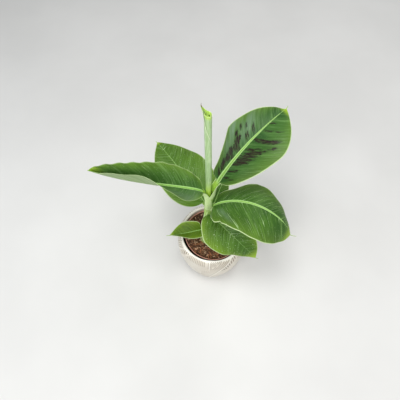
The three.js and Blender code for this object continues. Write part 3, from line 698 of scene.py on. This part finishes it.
def stations(leaf):
    """Arrays along the leaf, from the start of its sheath on the stem to the end of the thread at its tip:
    shares of the stalk (u) and the blade (t), distance past the blade's base, place and axes."""
    handles, bearing = stalk_line(leaf)
    u = np.linspace(0, 1, STALK["rows"], endpoint=False)
    place, along = bezier(handles, u)
    length = np.linalg.norm(np.diff(bezier(handles, np.linspace(0, 1, 80))[0], axis=0), axis=1).sum()
    turn = np.radians(bearing) + wrapped(np.radians(leaf["heading"] - bearing)) * smooth(u)
    level = joined(-np.sin(turn), np.cos(turn), 0)
    across = unit(level - along * np.sum(level * along, axis=1, keepdims=True))
    up = np.cross(along, across)
    stalk = dict(u=u, t=0 * u, past=(u - 1) * length, place=place, across=across, up=up)

    w = np.linspace(0, 1, STALK["sheath_rows"], endpoint=False)
    start, radius = stem_at(leaf["foot"] - leaf["sheath"])
    start = start + level_way(bearing) * (radius + STALK["clear"])
    line = start + (handles[0] - start) * w[:, None]
    sheath = dict(
        u=w - 1, t=0 * w, past=-length - leaf["sheath"] * (1 - w), place=line,
        across=across[0] + 0 * line, up=up[0] + 0 * line,
    )

    # Rows lie closer together at both ends of the blade
    even = np.linspace(0, 1, int(BLADE["rows"] * (1 if leaf["blade"] > 100 else 0.6)))
    t = 0.25 * (1 - np.cos(np.pi * even)) + 0.5 * even
    steps = np.linspace(0, 1, 601)
    middle = (steps[1:] + steps[:-1]) / 2
    line = np.cumsum(blade_axes(leaf, middle)[0] * leaf["blade"] / len(middle), axis=0)
    line = np.vstack([np.zeros(3), line]) + np.array(leaf["base"], float)
    place = joined(*(np.interp(t, steps, line[:, k]) for k in range(3)))
    _, across, up = blade_axes(leaf, t)
    blade = dict(u=1 + 0 * t, t=t, past=t * leaf["blade"], place=place, across=across, up=up)

    reach, slope, bearing = leaf["drip"]
    way = np.linspace(0, 1, 9)[1:]
    before = blade_axes(leaf, 1.0)[0]
    after, thread_across, thread_up = axes_of(slope, bearing)
    bent = before * (way - way**2 / 2)[:, None] * 0.6 + after * (0.4 * way + 0.6 * way**2 / 2)[:, None]
    thread = dict(
        u=1 + 0 * way, t=1 + 0 * way, past=leaf["blade"] + reach * way, place=place[-1] + reach * bent,
        across=across[-1] + (thread_across - across[-1]) * way[:, None],
        up=up[-1] + (thread_up - up[-1]) * way[:, None],
    )
    return {key: np.concatenate([part[key] for part in (sheath, stalk, blade, thread)]) for key in stalk}


def leaf_sheet(leaf, rng):
    """The leaf's upper surface as a grid of points, with what each row or point is like."""
    s = stations(leaf)
    t, past, u = (s[key][:, None] for key in ("t", "past", "u"))
    x = np.linspace(0, 1, BLADE["columns"] + 1)
    reach = x - 0.62 * np.sin(TAU * x) / TAU
    middle = (reach[1:] + reach[:-1]) / 2
    size = min(1, leaf["blade"] / FULL_SIZE + LEAST_SHARE)
    opened = smooth((past - STALK["open_from"]) / (STALK["open_to"] - STALK["open_from"]))
    roll = np.radians(blend(*leaf["roll"], t)) * opened
    side = s["across"] * np.cos(roll) + s["up"] * np.sin(roll)
    face = s["up"] * np.cos(roll) - s["across"] * np.sin(roll)
    clasp = smooth(1 - u / leaf["clasp"])
    wrap = blend(leaf["wrap"][1], leaf["wrap"][0], np.clip(-u, 0, 1))
    around = (core_at(leaf["foot"])[1] + 0.5 + leaf["loose"]) * np.radians(wrap)
    channel = blend(STALK["neck"] * size, around, clasp)
    curl = blend(STALK["curl"], wrap, clasp)
    low, high = leaf["fold_span"]
    folding = smooth((t - low) / (high - low))
    thread = np.clip((past - leaf["blade"]) / max(leaf["drip"][0], 1), 0, 1)
    narrow = blend(channel, BLADE["tip_width"], smooth(t / BLADE["root"])) * (1 - 0.7 * thread)
    table = noise_table(rng)
    halves = []
    for half, (key, sign) in enumerate((("fold_left", 1), ("fold_right", -1))):
        wide = np.maximum(np.where(past > 0, half_width(leaf, half, t), 0), narrow)
        spread = blend(*leaf[key], folding) * smooth(middle / 0.07) - leaf["cup"] * middle
        angle = np.radians(blend(curl * middle, spread, opened))[..., None]
        move = sign * side[:, None] * np.cos(angle) + face[:, None] * np.sin(angle)
        line = np.cumsum(move * (wide * np.diff(reach))[..., None], axis=1)
        line = np.concatenate([0 * line[:, :1], line], axis=1)
        halves.append((s["place"][:, None] + line, sign * wide * reach, wide))
    (left, left_apart, left_wide), (right, right_apart, right_wide) = halves
    grid = np.concatenate([left[:, ::-1], right[:, 1:]], axis=1)
    apart = np.concatenate([left_apart[:, ::-1], right_apart[:, 1:]], axis=1)
    on_left = apart >= 0
    wide = np.where(on_left, left_wide, right_wide)
    away = np.abs(apart)
    share = away / np.maximum(wide, 1e-6)
    veins = along_vein(past, away, share)
    normal = normals_of(grid)
    row = len(t) // 2
    if np.sum(normal[row, BLADE["columns"]] * face[row]) < 0:
        normal = -normal

    # Low bands along the veins, waves of the margins, a soft unevenness, and the groove over the midrib
    inner = smooth(away / 6) * smooth((wide - away) / 5) * smooth(t / 0.03) * smooth((1 - t) / 0.06)
    bands = np.sin(TAU * veins / BLADE["vein_spacing"] + 3 * soft_noise(table, veins / 30, away / 60))
    offset = 0.13 * bands * inner * opened
    for half, (height, count, phase) in enumerate(leaf["waves"]):
        wander = phase + 2.0 * soft_noise(table, t * 4 + 9 * half, share)
        wave = np.sin(TAU * count * (t - 0.15 * share) + wander)
        swell = height * wave * share**4 * both_ends(t, 0.12)
        offset = offset + np.where(on_left == (half == 0), swell, 0)
    broad = (soft_noise(table, t * 5 + 3, apart / 45 + 20) - 0.5) * 2.2
    offset = offset + broad * smooth(away / 25) * both_ends(t, 0.15) * size
    groove = smooth(1 - away / (leaf["rib"][0] * 0.55 + 0.2)) * smooth(1 - t / 0.55) * opened
    grid = grid + normal * (offset - 0.55 * size * groove)[..., None]
    facing = normals_of(grid)
    normal = facing * np.sign(np.sum(facing * normal, axis=2, keepdims=True))
    return dict(
        grid=grid, normal=normal, apart=apart, away=away, wide=wide, share=share, veins=veins, size=size,
        t=t, u=u, past=past, opened=opened,
    )


def leaf_thickness(leaf, sheet):
    """How thick the leaf is at each point: a thin lamina, a keel under the midrib, and a thick stalk."""
    away, t, opened = sheet["away"], sheet["t"], sheet["opened"]
    edge = smooth(1 - (sheet["wide"] - away) / 0.9)
    lamina = BLADE["thickness"] * blend(1.0, 1.5, edge)
    keel = sheet["size"] * blend(2.6, 0.15, smooth(t * 1.1))
    under = keel * bell(away / (leaf["rib"][0] * blend(1.0, 0.5, t) + 0.6))
    wall = STALK["wall"] * sheet["size"] * blend(1.0, 0.45, sheet["share"])
    body = wall + keel * bell(away / 3.2) * smooth(sheet["u"] / 0.4)
    body = body * blend(0.35, 1.0, smooth(sheet["u"] / 0.35))
    return blend(body, lamina + under, opened)


def spots_on(leaf, sheet, spots):
    """How strongly soft spots cover each point of a blade."""
    found = np.zeros_like(sheet["away"])
    for at, off, long, wide, strength in spots:
        side = sheet["apart"] * np.sign(off) > -1
        width = float(half_width(leaf, 0 if off > 0 else 1, np.array(at)))
        vein = along_vein(at * leaf["blade"], abs(off), min(abs(off) / width, 1))
        along = (sheet["veins"] - vein) / wide
        across = (sheet["away"] - abs(off)) / long
        found = np.maximum(found, strength * np.exp(-0.7 * (along**2 + across**2)) * side)
    return found


def leaf_piece(name, leaf, material, rng, yellow, ripe_from):
    """An open leaf, from the start of its sheath to the thread at its tip."""
    sheet = leaf_sheet(leaf, rng)
    top, t, away, opened = (sheet[key] for key in ("grid", "t", "away", "opened"))
    columns = away.shape[1]
    thick = leaf_thickness(leaf, sheet)[..., None]
    below = top - sheet["normal"] * thick

    # One ring round the sheet for each row: over the top, round the right margin, back underneath
    edges = []
    for column, inner in ((-1, -2), (0, 1)):
        outward = unit(top[:, column] - top[:, inner]) * thick[:, column] * BLADE["edge"]
        edges.append(((top[:, column] + below[:, column]) / 2 + outward)[:, None])
    ring = np.concatenate([top, edges[0], below[:, ::-1], edges[1]], axis=1)

    def around(values):
        """The field's values for a ring, from those of the sheet."""
        values = np.broadcast_to(values, away.shape)
        return np.concatenate([values, values[:, -1:], values[:, ::-1], values[:, :1]], axis=1)

    rib_width, power, end = leaf["rib"]
    width = rib_width * np.clip(1 - t / end, 0, 1) ** power
    rib = np.clip(1 - away / np.maximum(width, 0.2), 0, 1) * opened
    margin = smooth(1 - (sheet["wide"] - away - 0.3) / 1.3) * opened * (1 - 0.7 * smooth((t - 0.9) / 0.1))
    stalk = 1 - opened
    stalk_edge = smooth((sheet["share"] - 0.86) / 0.1) * stalk
    climb = sheet["past"] - sheet["past"][np.argmax(sheet["u"] >= 0)]
    pale_ring = 0.8 * bell(climb - leaf["ring"]) * stalk
    margin = np.maximum(np.maximum(margin, stalk_edge), pale_ring)
    patch = PATCH_STRENGTH * spots_on(leaf, sheet, PATCHES.get(name, ()))
    painted_sheen = spots_on(leaf, sheet, PAINTED_SHEENS.get(name, ()))
    # On the blade, painted sheen; on the stalk, the yellower foot below its pale ring
    painted_sheen_and_stalk_foot = np.where(opened > 0.5, painted_sheen, smooth((leaf["ring"] - climb) / 1.5))
    tip = np.maximum(smooth((t - ripe_from) / (1 - ripe_from)), yellow * sheet["share"] ** 3)
    under = np.repeat((0, 0.5, 1, 0.5), (columns, 1, columns, 1))
    fields = dict(
        marks=joined(around(rib), around(margin), around(stalk)),
        tint=joined(around(patch) * (1 - under), around(tip), under),
        veins=joined(around(sheet["apart"]) * MM, around(sheet["veins"]) * MM, around(painted_sheen_and_stalk_foot)),
    )
    make_piece(name + "_blade", ring, sheet_faces(ring, 1), material, [name], fields)


# Rolled leaf


def spear_piece(material):
    """A sheet wound round itself. Its outer margin crosses the front of the roll near the top, where it stays
    open, and the tip of the leaf is drawn out into a tail at its back."""
    low, high = STEM["top"][2] - 10, SPEAR["top"][2]
    spans = np.linspace(low, 385, 60)[:-1], np.linspace(385, 430, 60)[:-1], np.linspace(430, high, 72)
    z = np.concatenate(spans)[:, None]
    inward = SPEAR["turns"] * np.linspace(0, 1, SPEAR["columns"])
    centre, radius = spear_at(np.clip(z, STEM["top"][2], high))
    centre[..., 2] = z
    angle = np.radians(np.interp(z, *zip(*SPEAR_MARGIN))) - TAU * inward
    deeper = np.clip(inward - 1, 0, None)
    outer = smooth((1.02 - inward) * 12)
    spread = radius + 0.25 - SPEAR["step"] * np.minimum(inward, 1) - SPEAR["pitch"] * deeper
    spread = spread + 0.45 * smooth((z - 330) / 110) * outer

    # The mouth slants, and the tail rises from it
    off = wrapped(angle - math.radians(SPEAR["tail_at"]))
    away = np.abs(off) / np.radians(np.where(off > 0, SPEAR["tail_width"][1], SPEAR["tail_width"][0]))
    drawn = np.clip(1 - away, 0, 1) ** SPEAR["tail_power"] * outer
    lift = SPEAR["slant"] * np.cos(off) - 0.35 * deeper + 0.3 * np.sin(3 * angle + 1)
    lift = smooth((z - 440) / 18) ** 1.5 * lift + smooth((z - 430) / 28) ** 2 * SPEAR["tail"] * drawn
    curl = SPEAR["tail_curl"] * np.clip(lift / SPEAR["tail"], 0, 1.2) ** 1.6 * (drawn > 0)
    shifted = level_way(SPEAR["shift_at"]) * (SPEAR["shift"] * deeper)[:, None]
    curled = level_way(SPEAR["tail_at"]) * curl[..., None]
    outside = round_axis(spread, angle, lift) + shifted + curled + centre
    thick = 0.45 - 0.2 * np.clip(drawn, 0, 1)
    inside = outside - round_axis(thick, angle, 0)
    ring = np.concatenate([outside, inside[:, ::-1]], axis=1)

    rim = smooth(1 - inward * TAU * radius / 1.3)
    rim = np.maximum(rim, smooth((z - high + 0.8) / 0.8) * 0.6 * outer)
    ripe = smooth((z - 449) / 9) * (0.75 + 0.25 * np.clip(drawn * 2, 0, 1))
    ripe = np.maximum(ripe, smooth((312 - z) / 50))
    # Painted shade inside the mouth, below the tops of the inner turns, and a thin painted shadow along the
    # step under the outer margin
    painted_shade_and_drying = smooth(deeper * 1.6) * smooth((high - 3 - z) / 5)
    painted_shade_and_drying = np.maximum(painted_shade_and_drying, 0.45 * smooth(1 - np.abs(inward - 1.0) / 0.05) * (inward > 1.0))
    # The tail's top is darker as it dries: its own colour
    painted_shade_and_drying = np.maximum(painted_shade_and_drying, 0.4 * smooth((lift - 3.5) / 5))
    marks = joined(rim, ripe, painted_shade_and_drying)
    marks = dict(marks=np.concatenate([marks, marks[:, ::-1]], axis=1))
    make_piece("rolled_leaf", ring, sheet_faces(ring, 0), material, ["spear_leaf"], marks)


def thread_piece(material):
    """The dry brown thread in which the rolled leaf's tip ends."""
    out = level_way(SPEAR["tail_at"])
    start = np.array(SPEAR["top"]) + out * (SPEAR["top_radius"] + SPEAR["tail_curl"] - 0.2)
    start[2] += SPEAR["tail"] - 0.8
    u = np.linspace(0, 1, 14)[:, None]
    centre = start + out * 1.2 * np.sin(2.6 * u) + np.array([0, 0, SPEAR["thread"]]) * u
    thick = blend(0.62, 0.16, u) * (1 + 0.15 * np.sin(9 * u))
    rings = centre[:, None] + round_axis(thick, np.linspace(0, TAU, 8, endpoint=False), 0)
    make_piece("dry_tip", rings, tube_faces(rings), material)


# False stem


def stem_piece(material):
    """The sheaths of the open leaves, one inside the other, from the soil up. Each ends in a rim that falls
    away round the stem from where its stalk parts."""
    z = np.linspace(SOIL_TOP - 4, STEM["top"][2] + 6, 260)[:, None]
    angle = full_turn(120)
    centre, radius = stem_at(z)
    spread = radius - 0.7 + 0 * angle
    rims = seams = 0 * spread
    for leaf in LEAVES.values():
        off = wrapped(angle - math.radians(stalk_line(leaf)[1]))
        behind = wrapped(off - np.pi)
        fall = 16 * (1 - np.cos(off)) / 2 + 3 * np.abs(off) / np.pi
        top = leaf["foot"] + leaf["collar"] - fall
        spread = spread + 0.34 * smooth((top - z) / 1.2 + 0.5)
        rims = np.maximum(rims, bell(z - top + 0.9))
        # A dark band just above each sheath's rim: painted shade in the seam
        seams = np.maximum(seams, 0.8 * bell((z - top - 0.9) / 0.8))
        spread = spread + 0.25 * smooth(behind / 0.08 + 0.5) * bell(behind / 0.09) * smooth((top - z) / 4)
    spread = spread * (1 + 0.012 * np.sin(3 * angle + z / 40) + 0.006 * np.sin(17 * angle))
    grid = round_axis(spread, angle, 0) + centre
    foot = smooth(1 - (z - SOIL_TOP) / 26) * 0.6
    marks = dict(marks=joined(rims, foot, seams))
    make_piece("leaf_sheaths", grid, tube_faces(grid), material, ["pseudostem"], marks)


# Cover pot


def leaning_cuts(arc, level):
    """Veins on one half of a leaning leaf of the relief, and short curved cuts on the other."""
    fan = np.arctan2(-arc, np.maximum(level - CUTS["fan_from"], 6))
    veins = (0.5 + 0.5 * np.cos(TAU * fan / CUTS["fan"])) ** 2 * blend(0.25, 1.0, smooth((level - 82) / 12))
    twist = np.maximum(np.cos(TAU * (arc * 0.8 + 0.75 * (level - 100)) / CUTS["curved"]), 0) ** 1.1
    twist = twist * smooth((arc - 4) / 2) * smooth((18 - arc) / 3)
    twist = twist * blend(0.1, 1.9, smooth((level - 70) / 10))
    return np.where(arc < 0, veins * smooth((-arc - 2) / 2), twist)


def upright_cuts(arc, level):
    """Ribs on one half of an upright leaf of the relief, and hatching on the other."""
    ribs = (0.5 + 0.5 * np.cos(TAU * (arc / CUTS["ribs"] + level / 60))) ** 1.2
    ribs = ribs * blend(0.05, 0.75, smooth((level - 93) / 7))
    across, up = CUTS["hatch"]
    hatch = smooth(1.6 * np.cos(TAU * arc / across) * np.cos(TAU * level / up))
    hatch = hatch * blend(0.0, 2.2, smooth((level - 88) / 5))
    return np.where(arc < 0, ribs * smooth((-arc - 7) / 3), hatch * smooth((arc - 2) / 2))


def pot_relief(angle, share):
    """Height of the relief on the pot's side, how far each point is in a groove or hollow, which takes
    browner glaze and painted shade, and how far it is on a midrib, which takes a painted highlight.
    """
    relief = hollow = raised = top = 0.0
    level = share * POT["height"]
    radius = blend(POT["foot"], POT["rim"], share)
    tall = np.sin(np.pi * blend(*POT_LEAF["show"], share)) ** POT_LEAF["roundness"]
    lean = math.radians(POT_LEAF["lean"]) * share ** POT_LEAF["lean_power"]
    for i in range(POT_LEAF["pairs"]):
        foot = math.radians(POT_LEAF["turn"] + 360 * i / POT_LEAF["pairs"])
        for kind in ("upright", "leaning"):
            leaning = kind == "leaning"
            half, height = POT_LEAF[kind]
            off = wrapped(angle - foot - lean * leaning)
            arc = off * radius
            inside = 1 - np.abs(off) / (math.radians(half) * tall)
            edge = smooth(inside * POT_LEAF["edge"])
            rib = bell(arc / (1.25 if leaning else 1.0))
            # A thin groove beside each midrib, which also takes painted shade
            beside = bell((np.abs(arc) - 2.4) / 0.8)
            cut = (leaning_cuts if leaning else upright_cuts)(arc, level) * smooth(inside * 6)
            step = 0.0 if leaning else 0.5 * smooth((level - 95) / 2) * smooth((-arc - 4) / 4)
            here = edge * (height + step + rib - 0.5 * beside - 0.3 * (1 - inside))
            over = here > top
            hollow = np.where(over, np.clip(cut + 0.75 * beside, 0, 1.3) * edge, hollow)
            # The midribs take a painted highlight
            raised = np.where(over, rib * edge, raised)
            relief = np.where(over, here - 0.75 * cut * edge, relief)
            top = np.maximum(top, here)
    # The plain ground between the leaves takes some painted shade as well
    between = np.clip(1 - relief, 0, 1) * smooth(share * 20)
    return relief, np.maximum(hollow, 0.4 * between), raised


def rim_lift(angle):
    """Height of the rim's low waves: 0 over the tips of the leaves in relief, and below 0 between them."""
    lift = np.zeros_like(angle)
    for i in range(POT_LEAF["pairs"]):
        foot = POT_LEAF["turn"] + 360 * i / POT_LEAF["pairs"]
        for lean in (0, POT_LEAF["lean"]):
            off = wrapped(angle - math.radians(foot + lean)) / math.radians(POT_LEAF["scallop_width"])
            lift = np.maximum(lift, POT_LEAF["scallop"] * bell(off))
    return lift - POT_LEAF["scallop"]


def pot_piece(material):
    """The cover pot, from one profile: underside, side, shoulder, rolled lip, and inside to its floor."""
    height, foot, floor, mouth, lip = (POT[key] for key in ("height", "foot", "floor", "mouth", "lip"))
    plain = POT["rim"] - POT_LEAF["leaning"][1] - 0.9
    shares = np.linspace(0, 1, POT["rows"], endpoint=False)
    side_z = blend(POT["foot_round"], POT["shoulder"], shares)
    side_r = blend(foot, plain, shares) + POT["belly"] * np.sin(np.pi * shares)
    bend = np.radians(np.linspace(0, 75, POT["shoulder_rows"]))
    shoulder_r = plain - (plain - lip) / (1 - math.cos(bend[-1])) * (1 - np.cos(bend))
    shoulder_z = blend(POT["shoulder"], height - POT["lip_drop"], np.sin(bend) / math.sin(bend[-1]))
    profile = [(0.01, 2.0), (foot - 7, 2.0), (foot - 6, 0.0), (foot - 2.5, 0.0)]
    profile += [(foot - 1.2, 0.35), (foot - 0.3, 1.2)]
    first = len(profile)
    profile += list(zip(side_r, side_z)) + list(zip(shoulder_r, shoulder_z))
    last = len(profile)
    middle, half, tall = (lip + mouth) / 2, (lip - mouth) / 2 + 0.1, POT["lip_height"]
    for a in np.radians(np.linspace(24, 180, 20)):
        profile.append((middle + half * math.cos(a), height - tall + tall * math.sin(a) ** 0.8))
    lowest = foot + POT["belly"] * math.sin(math.pi * floor / height) - POT["wall"]
    profile += [(mouth + 0.4, height - 9), (mouth + 0.4, height - 22), (mouth - 2, height - 50)]
    profile += [(lowest + 2.2, floor + 2), (lowest + 0.6, floor), (0.01, floor)]
    profile = np.array(profile)
    angle = full_turn(POT["across"])
    length = np.cumsum(np.hypot(*np.diff(profile, axis=0, prepend=profile[:1]).T))
    share = np.clip((length - length[first]) / (length[last] - length[first]), 0, 1)
    relief, hollow, raised = pot_relief(angle, share[:, None])
    index = np.arange(len(profile))[:, None]
    onside = (index >= first) * smooth((last + 4 - index) / 7)
    radius, z = profile[:, :1] + relief * onside, profile[:, 1:]
    z = z + rim_lift(angle) * smooth((z / height - 0.85) / 0.15)
    grid = round_axis(radius, angle, z)
    # The inside is painted darker going down, as shade
    inner = (index > last + 10) * np.clip((height + 1 - z) / 20, 0, 1)
    # The top of the lip takes a painted highlight
    painted_lip_highlight = smooth((z - height + 3.5) / 2) * (index > first)
    marks = dict(marks=joined(np.maximum(raised * onside, painted_lip_highlight), hollow * onside, inner))
    make_piece("relief_pot", grid, tube_faces(grid), material, ["cover_pot"], marks)


# Grower's pot and potting mix


def grower_bulge(angle):
    """How far the soft rim of the grower's pot is pushed out of round."""
    out = 0 * angle
    for at, width, amount in GROWER_BULGE:
        out = out + amount * bell(wrapped(angle - math.radians(at)) / math.radians(width))
    return out


def grower_piece(material):
    """The grower's pot: a thin wall with a rolled band at its rim."""
    height, foot, rim, wall = (GROWER[key] for key in ("height", "foot", "rim", "wall"))
    under, band = rim - GROWER["step"], height - GROWER["band"]
    outside = [(0.01, 0), (foot - 1, 0), (foot, 1), (under, band), (rim - 0.4, band + 0.6)]
    outside += [(rim, height - 4), (rim + 0.15, height - 1.2)]
    inside = [(rim + 0.1, height - 0.5), (rim - 0.5, height), (rim - 1.3, height - 0.3)]
    inside += [(rim - wall, height - 1.4), (under - wall, band - 1), (foot - wall, wall), (0.01, wall)]
    radius, z = np.array(outside + inside).T[..., None]
    angle = full_turn(240)
    wobble = 1 + 0.004 * np.sin(2 * angle + 0.6) + 0.0015 * np.sin(5 * angle)
    pushed = radius * wobble + grower_bulge(angle) * smooth((z - 50) / 35) * (radius > 1)
    grid = round_axis(pushed, angle, z + GROWER_BASE, GROWER["middle"])
    # The outer side of the wall, which its material darkens with painted shade
    outer = (np.arange(len(grid)) < len(outside))[:, None] + 0 * angle
    marks = dict(marks=joined(outer, 0, 0))
    make_piece("growers_pot", grid, tube_faces(grid), material, ["grower_pot"], marks)


def soil_height(table, x, y):
    """Height of the potting mix's surface at places in millimetres."""
    from_stem = np.hypot(x - STEM["foot"][0], y - STEM["foot"][1])
    lumps = np.sin(x * 0.31 + 1) * np.cos(y * 0.27) + 0.6 * np.sin(x * 0.13 - y * 0.41)
    fine = soft_noise(table, x / 3.2 + 40, y / 3.2 + 40) + 0.5 * soft_noise(table, x / 1.3 + 7, y / 1.3 + 9)
    eased = smooth((from_stem - (STEM["foot_radius"] + STEM["flare"] + 1)) / 12)
    east, north = x - GROWER["middle"][0], y - GROWER["middle"][1]
    towards = smooth((np.cos(np.arctan2(north, east) - math.radians(HEAP["at"])) + 0.3) / 0.8)
    heap = HEAP["height"] * smooth((np.hypot(east, north) - HEAP["least"]) / 22) * towards
    return SOIL_TOP + heap + eased * (0.8 * lumps - 2.5 * from_stem / GROWER["rim"]) + 1.6 * (fine - 0.85)


def soil_piece(material, table):
    """The body of the mix: its wall just inside the grower's pot, and its uneven top."""
    edge = GROWER["rim"] - GROWER["wall"] - 0.4
    narrow = edge - GROWER["step"] - 0.2
    angle = full_turn(260)
    bulge = grower_bulge(angle)
    rings = []
    for r, z in ((GROWER["foot"] - 3, GROWER_BASE + 2.2), (narrow, SOIL_TOP - 6), (narrow, SOIL_TOP - 3.4)):
        out = r + bulge * smooth((z - GROWER_BASE - 50) / 35)
        rings.append(round_axis(out, angle, z, GROWER["middle"]))
    top = round_axis((edge + bulge) * (1 - np.arange(70) / 70)[:, None], angle, 0, GROWER["middle"])
    top[..., 2] = soil_height(table, top[..., 0], top[..., 1])
    grid = np.concatenate([rings, top])
    make_piece("mix_bed", grid, tube_faces(grid), material, ["potting_soil"])


def chip(rng, long, wide, thick):
    """Corners and faces of one crumb of bark: an uneven, tapered block of eight corners."""
    corners = []
    for x, y, z in itertools.product((-1, 1), repeat=3):
        shrink = rng.uniform(0.55, 1.0)
        corners.append((x * long * rng.uniform(0.75, 1), y * wide * shrink, z * thick * shrink))
    faces = [(0, 1, 3, 2), (4, 6, 7, 5), (0, 4, 5, 1), (2, 3, 7, 6), (0, 2, 6, 4), (1, 5, 7, 3)]
    return np.array(corners) / 2, faces


def fibre(rng, long, thick):
    """Points and faces of one coir fibre: a thin bent three-sided thread."""
    s = np.linspace(0, 1, 7)[:, None]
    bend = rng.uniform(-1, 1, 2) * long * 0.35
    centre = joined((s - 0.5) * long, bend[0] * np.sin(np.pi * s), bend[1] * np.sin(2.5 * s) * 0.4)
    angle = TAU * np.arange(3) / 3
    around = joined(0, np.cos(angle), np.sin(angle)) * (thick * (1 - 0.5 * np.abs(2 * s - 1)))[..., None]
    return (centre + around).reshape(-1, 3), loft_faces(7, 3) + [[2, 1, 0], [18, 19, 20]]


def rotation(axis, angle):
    """Matrix of a turn round an axis, 0 to 2, by an angle in radians."""
    a, b = (axis + 1) % 3, (axis + 2) % 3
    matrix = np.eye(3)
    matrix[a, a] = matrix[b, b] = math.cos(angle)
    matrix[b, a] = math.sin(angle)
    matrix[a, b] = -math.sin(angle)
    return matrix


def scatter(name, rng, table, material, count, make, tilt):
    """Strews crumbs over the mix, joined into one piece, clear of the stem and the wall."""
    edge = GROWER["rim"] - GROWER["step"] - GROWER["wall"] - 2.0
    middle_x, middle_y = GROWER["middle"]
    all_points, all_faces, start = [], [], 0
    for _ in range(count):
        radius = edge * math.sqrt(rng.uniform(0.0, 1.0))
        bearing = rng.uniform(-math.pi, math.pi)
        x = middle_x + radius * math.cos(bearing)
        y = middle_y + radius * math.sin(bearing)
        if math.hypot(x - STEM["foot"][0], y - STEM["foot"][1]) < STEM["foot_radius"] + 1.5:
            continue
        points, faces = make(rng)
        turn = rng.uniform(-math.pi, math.pi)
        lean, pitch = rng.normal(0, tilt, 2)
        placed = points @ (rotation(2, turn) @ rotation(0, lean) @ rotation(1, pitch)).T
        z = float(soil_height(table, np.array(x), np.array(y)))
        placed = placed + np.array([x, y, z + rng.uniform(0.0, 0.9)])
        if np.hypot(placed[:, 0] - middle_x, placed[:, 1] - middle_y).max() > edge + 1.5:
            continue
        all_points.append(placed)
        all_faces += [[i + start for i in f] for f in faces]
        start += len(placed)
    make_piece(name, np.concatenate(all_points), all_faces, material, flat=True)


def build_soil(rng):
    table = noise_table(np.random.default_rng(SEED + 1))
    soil_piece(mix_look("mix_bed", MIX_BED), table)
    for name, (count, colours, (least, most)) in BARK.items():
        def crumb(r, least=least, most=most):
            long = r.uniform(least, most)
            return chip(r, long, long * r.uniform(0.25, 0.6), r.uniform(0.6, 1.5))

        scatter(name, rng, table, mix_look(name, colours), count, crumb, 0.35)

    def strand(r):
        return fibre(r, r.uniform(7, 18), r.uniform(0.25, 0.45))

    scatter("coir_fibres", rng, table, mix_look("coir", COIR), COIR_COUNT, strand, 0.2)


def build_plant():
    rng = np.random.default_rng(SEED)
    for name, leaf in LEAVES.items():
        want = LEAF_LOOKS[name]
        leaf_piece(name, leaf, leaf_look(name, want), rng, want["yellow"], want["ripe_from"])
    spear_piece(stem_look("rolled_leaf_green", *ROLLED_GREENS))
    thread_piece(mix_look("dry_brown", DRY_TIP))
    stem_piece(stem_look("sheath_green", *SHEATH_GREENS))
    pot_piece(glaze_look())
    grower_piece(plastic_look())
    build_soil(rng)


# Floor, light and camera


def floor():
    look = Look("pale_floor")
    look.ground = look.shades(look.noise(look.place, 3.0, 4.0), FLOOR_GREYS)
    mesh = bpy.data.meshes.new("floor")
    corners = [(x * FLOOR, y * FLOOR, 0) for x, y in ((-1, -1), (1, -1), (1, 1), (-1, 1))]
    mesh.from_pydata(corners, [], [(0, 1, 2, 3)])
    mesh.materials.append(look.finish(0.8, 0.2))
    piece = bpy.data.objects.new("floor", mesh)
    bpy.context.scene.collection.objects.link(piece)


def area_light(name, place, size, power, colour):
    data = bpy.data.lights.new(name, "AREA")
    data.shape = "DISK"
    data.size = size
    data.energy = power
    data.color = colour
    lamp = bpy.data.objects.new(name, data)
    lamp.location = place
    x, y, z = np.subtract(LIGHT_AIM, place)
    lamp.rotation_euler = (math.atan2(math.hypot(x, y), -z), 0, math.atan2(y, x) - math.pi / 2)
    bpy.context.scene.collection.objects.link(lamp)


def lighting():
    world = bpy.data.worlds.new("soft_daylight")
    bpy.context.scene.world = world
    world.use_nodes = True
    background = world.node_tree.nodes["Background"]
    background.inputs[0].default_value, background.inputs[1].default_value = SKY
    for name, light in LIGHTS.items():
        area_light(name, *light)


def photo_camera():
    data = bpy.data.cameras.new("camera")
    data.lens = CAMERA["lens"]
    data.sensor_width = CAMERA["sensor"]
    eye = bpy.data.objects.new("camera", data)
    eye.location = CAMERA["place"]
    eye.rotation_euler = (math.radians(CAMERA["tip"]), 0, 0)
    bpy.context.scene.collection.objects.link(eye)
    bpy.context.scene.camera = eye


build_plant()
floor()
lighting()
photo_camera()
bpy.context.scene.view_settings.view_transform = "Standard"
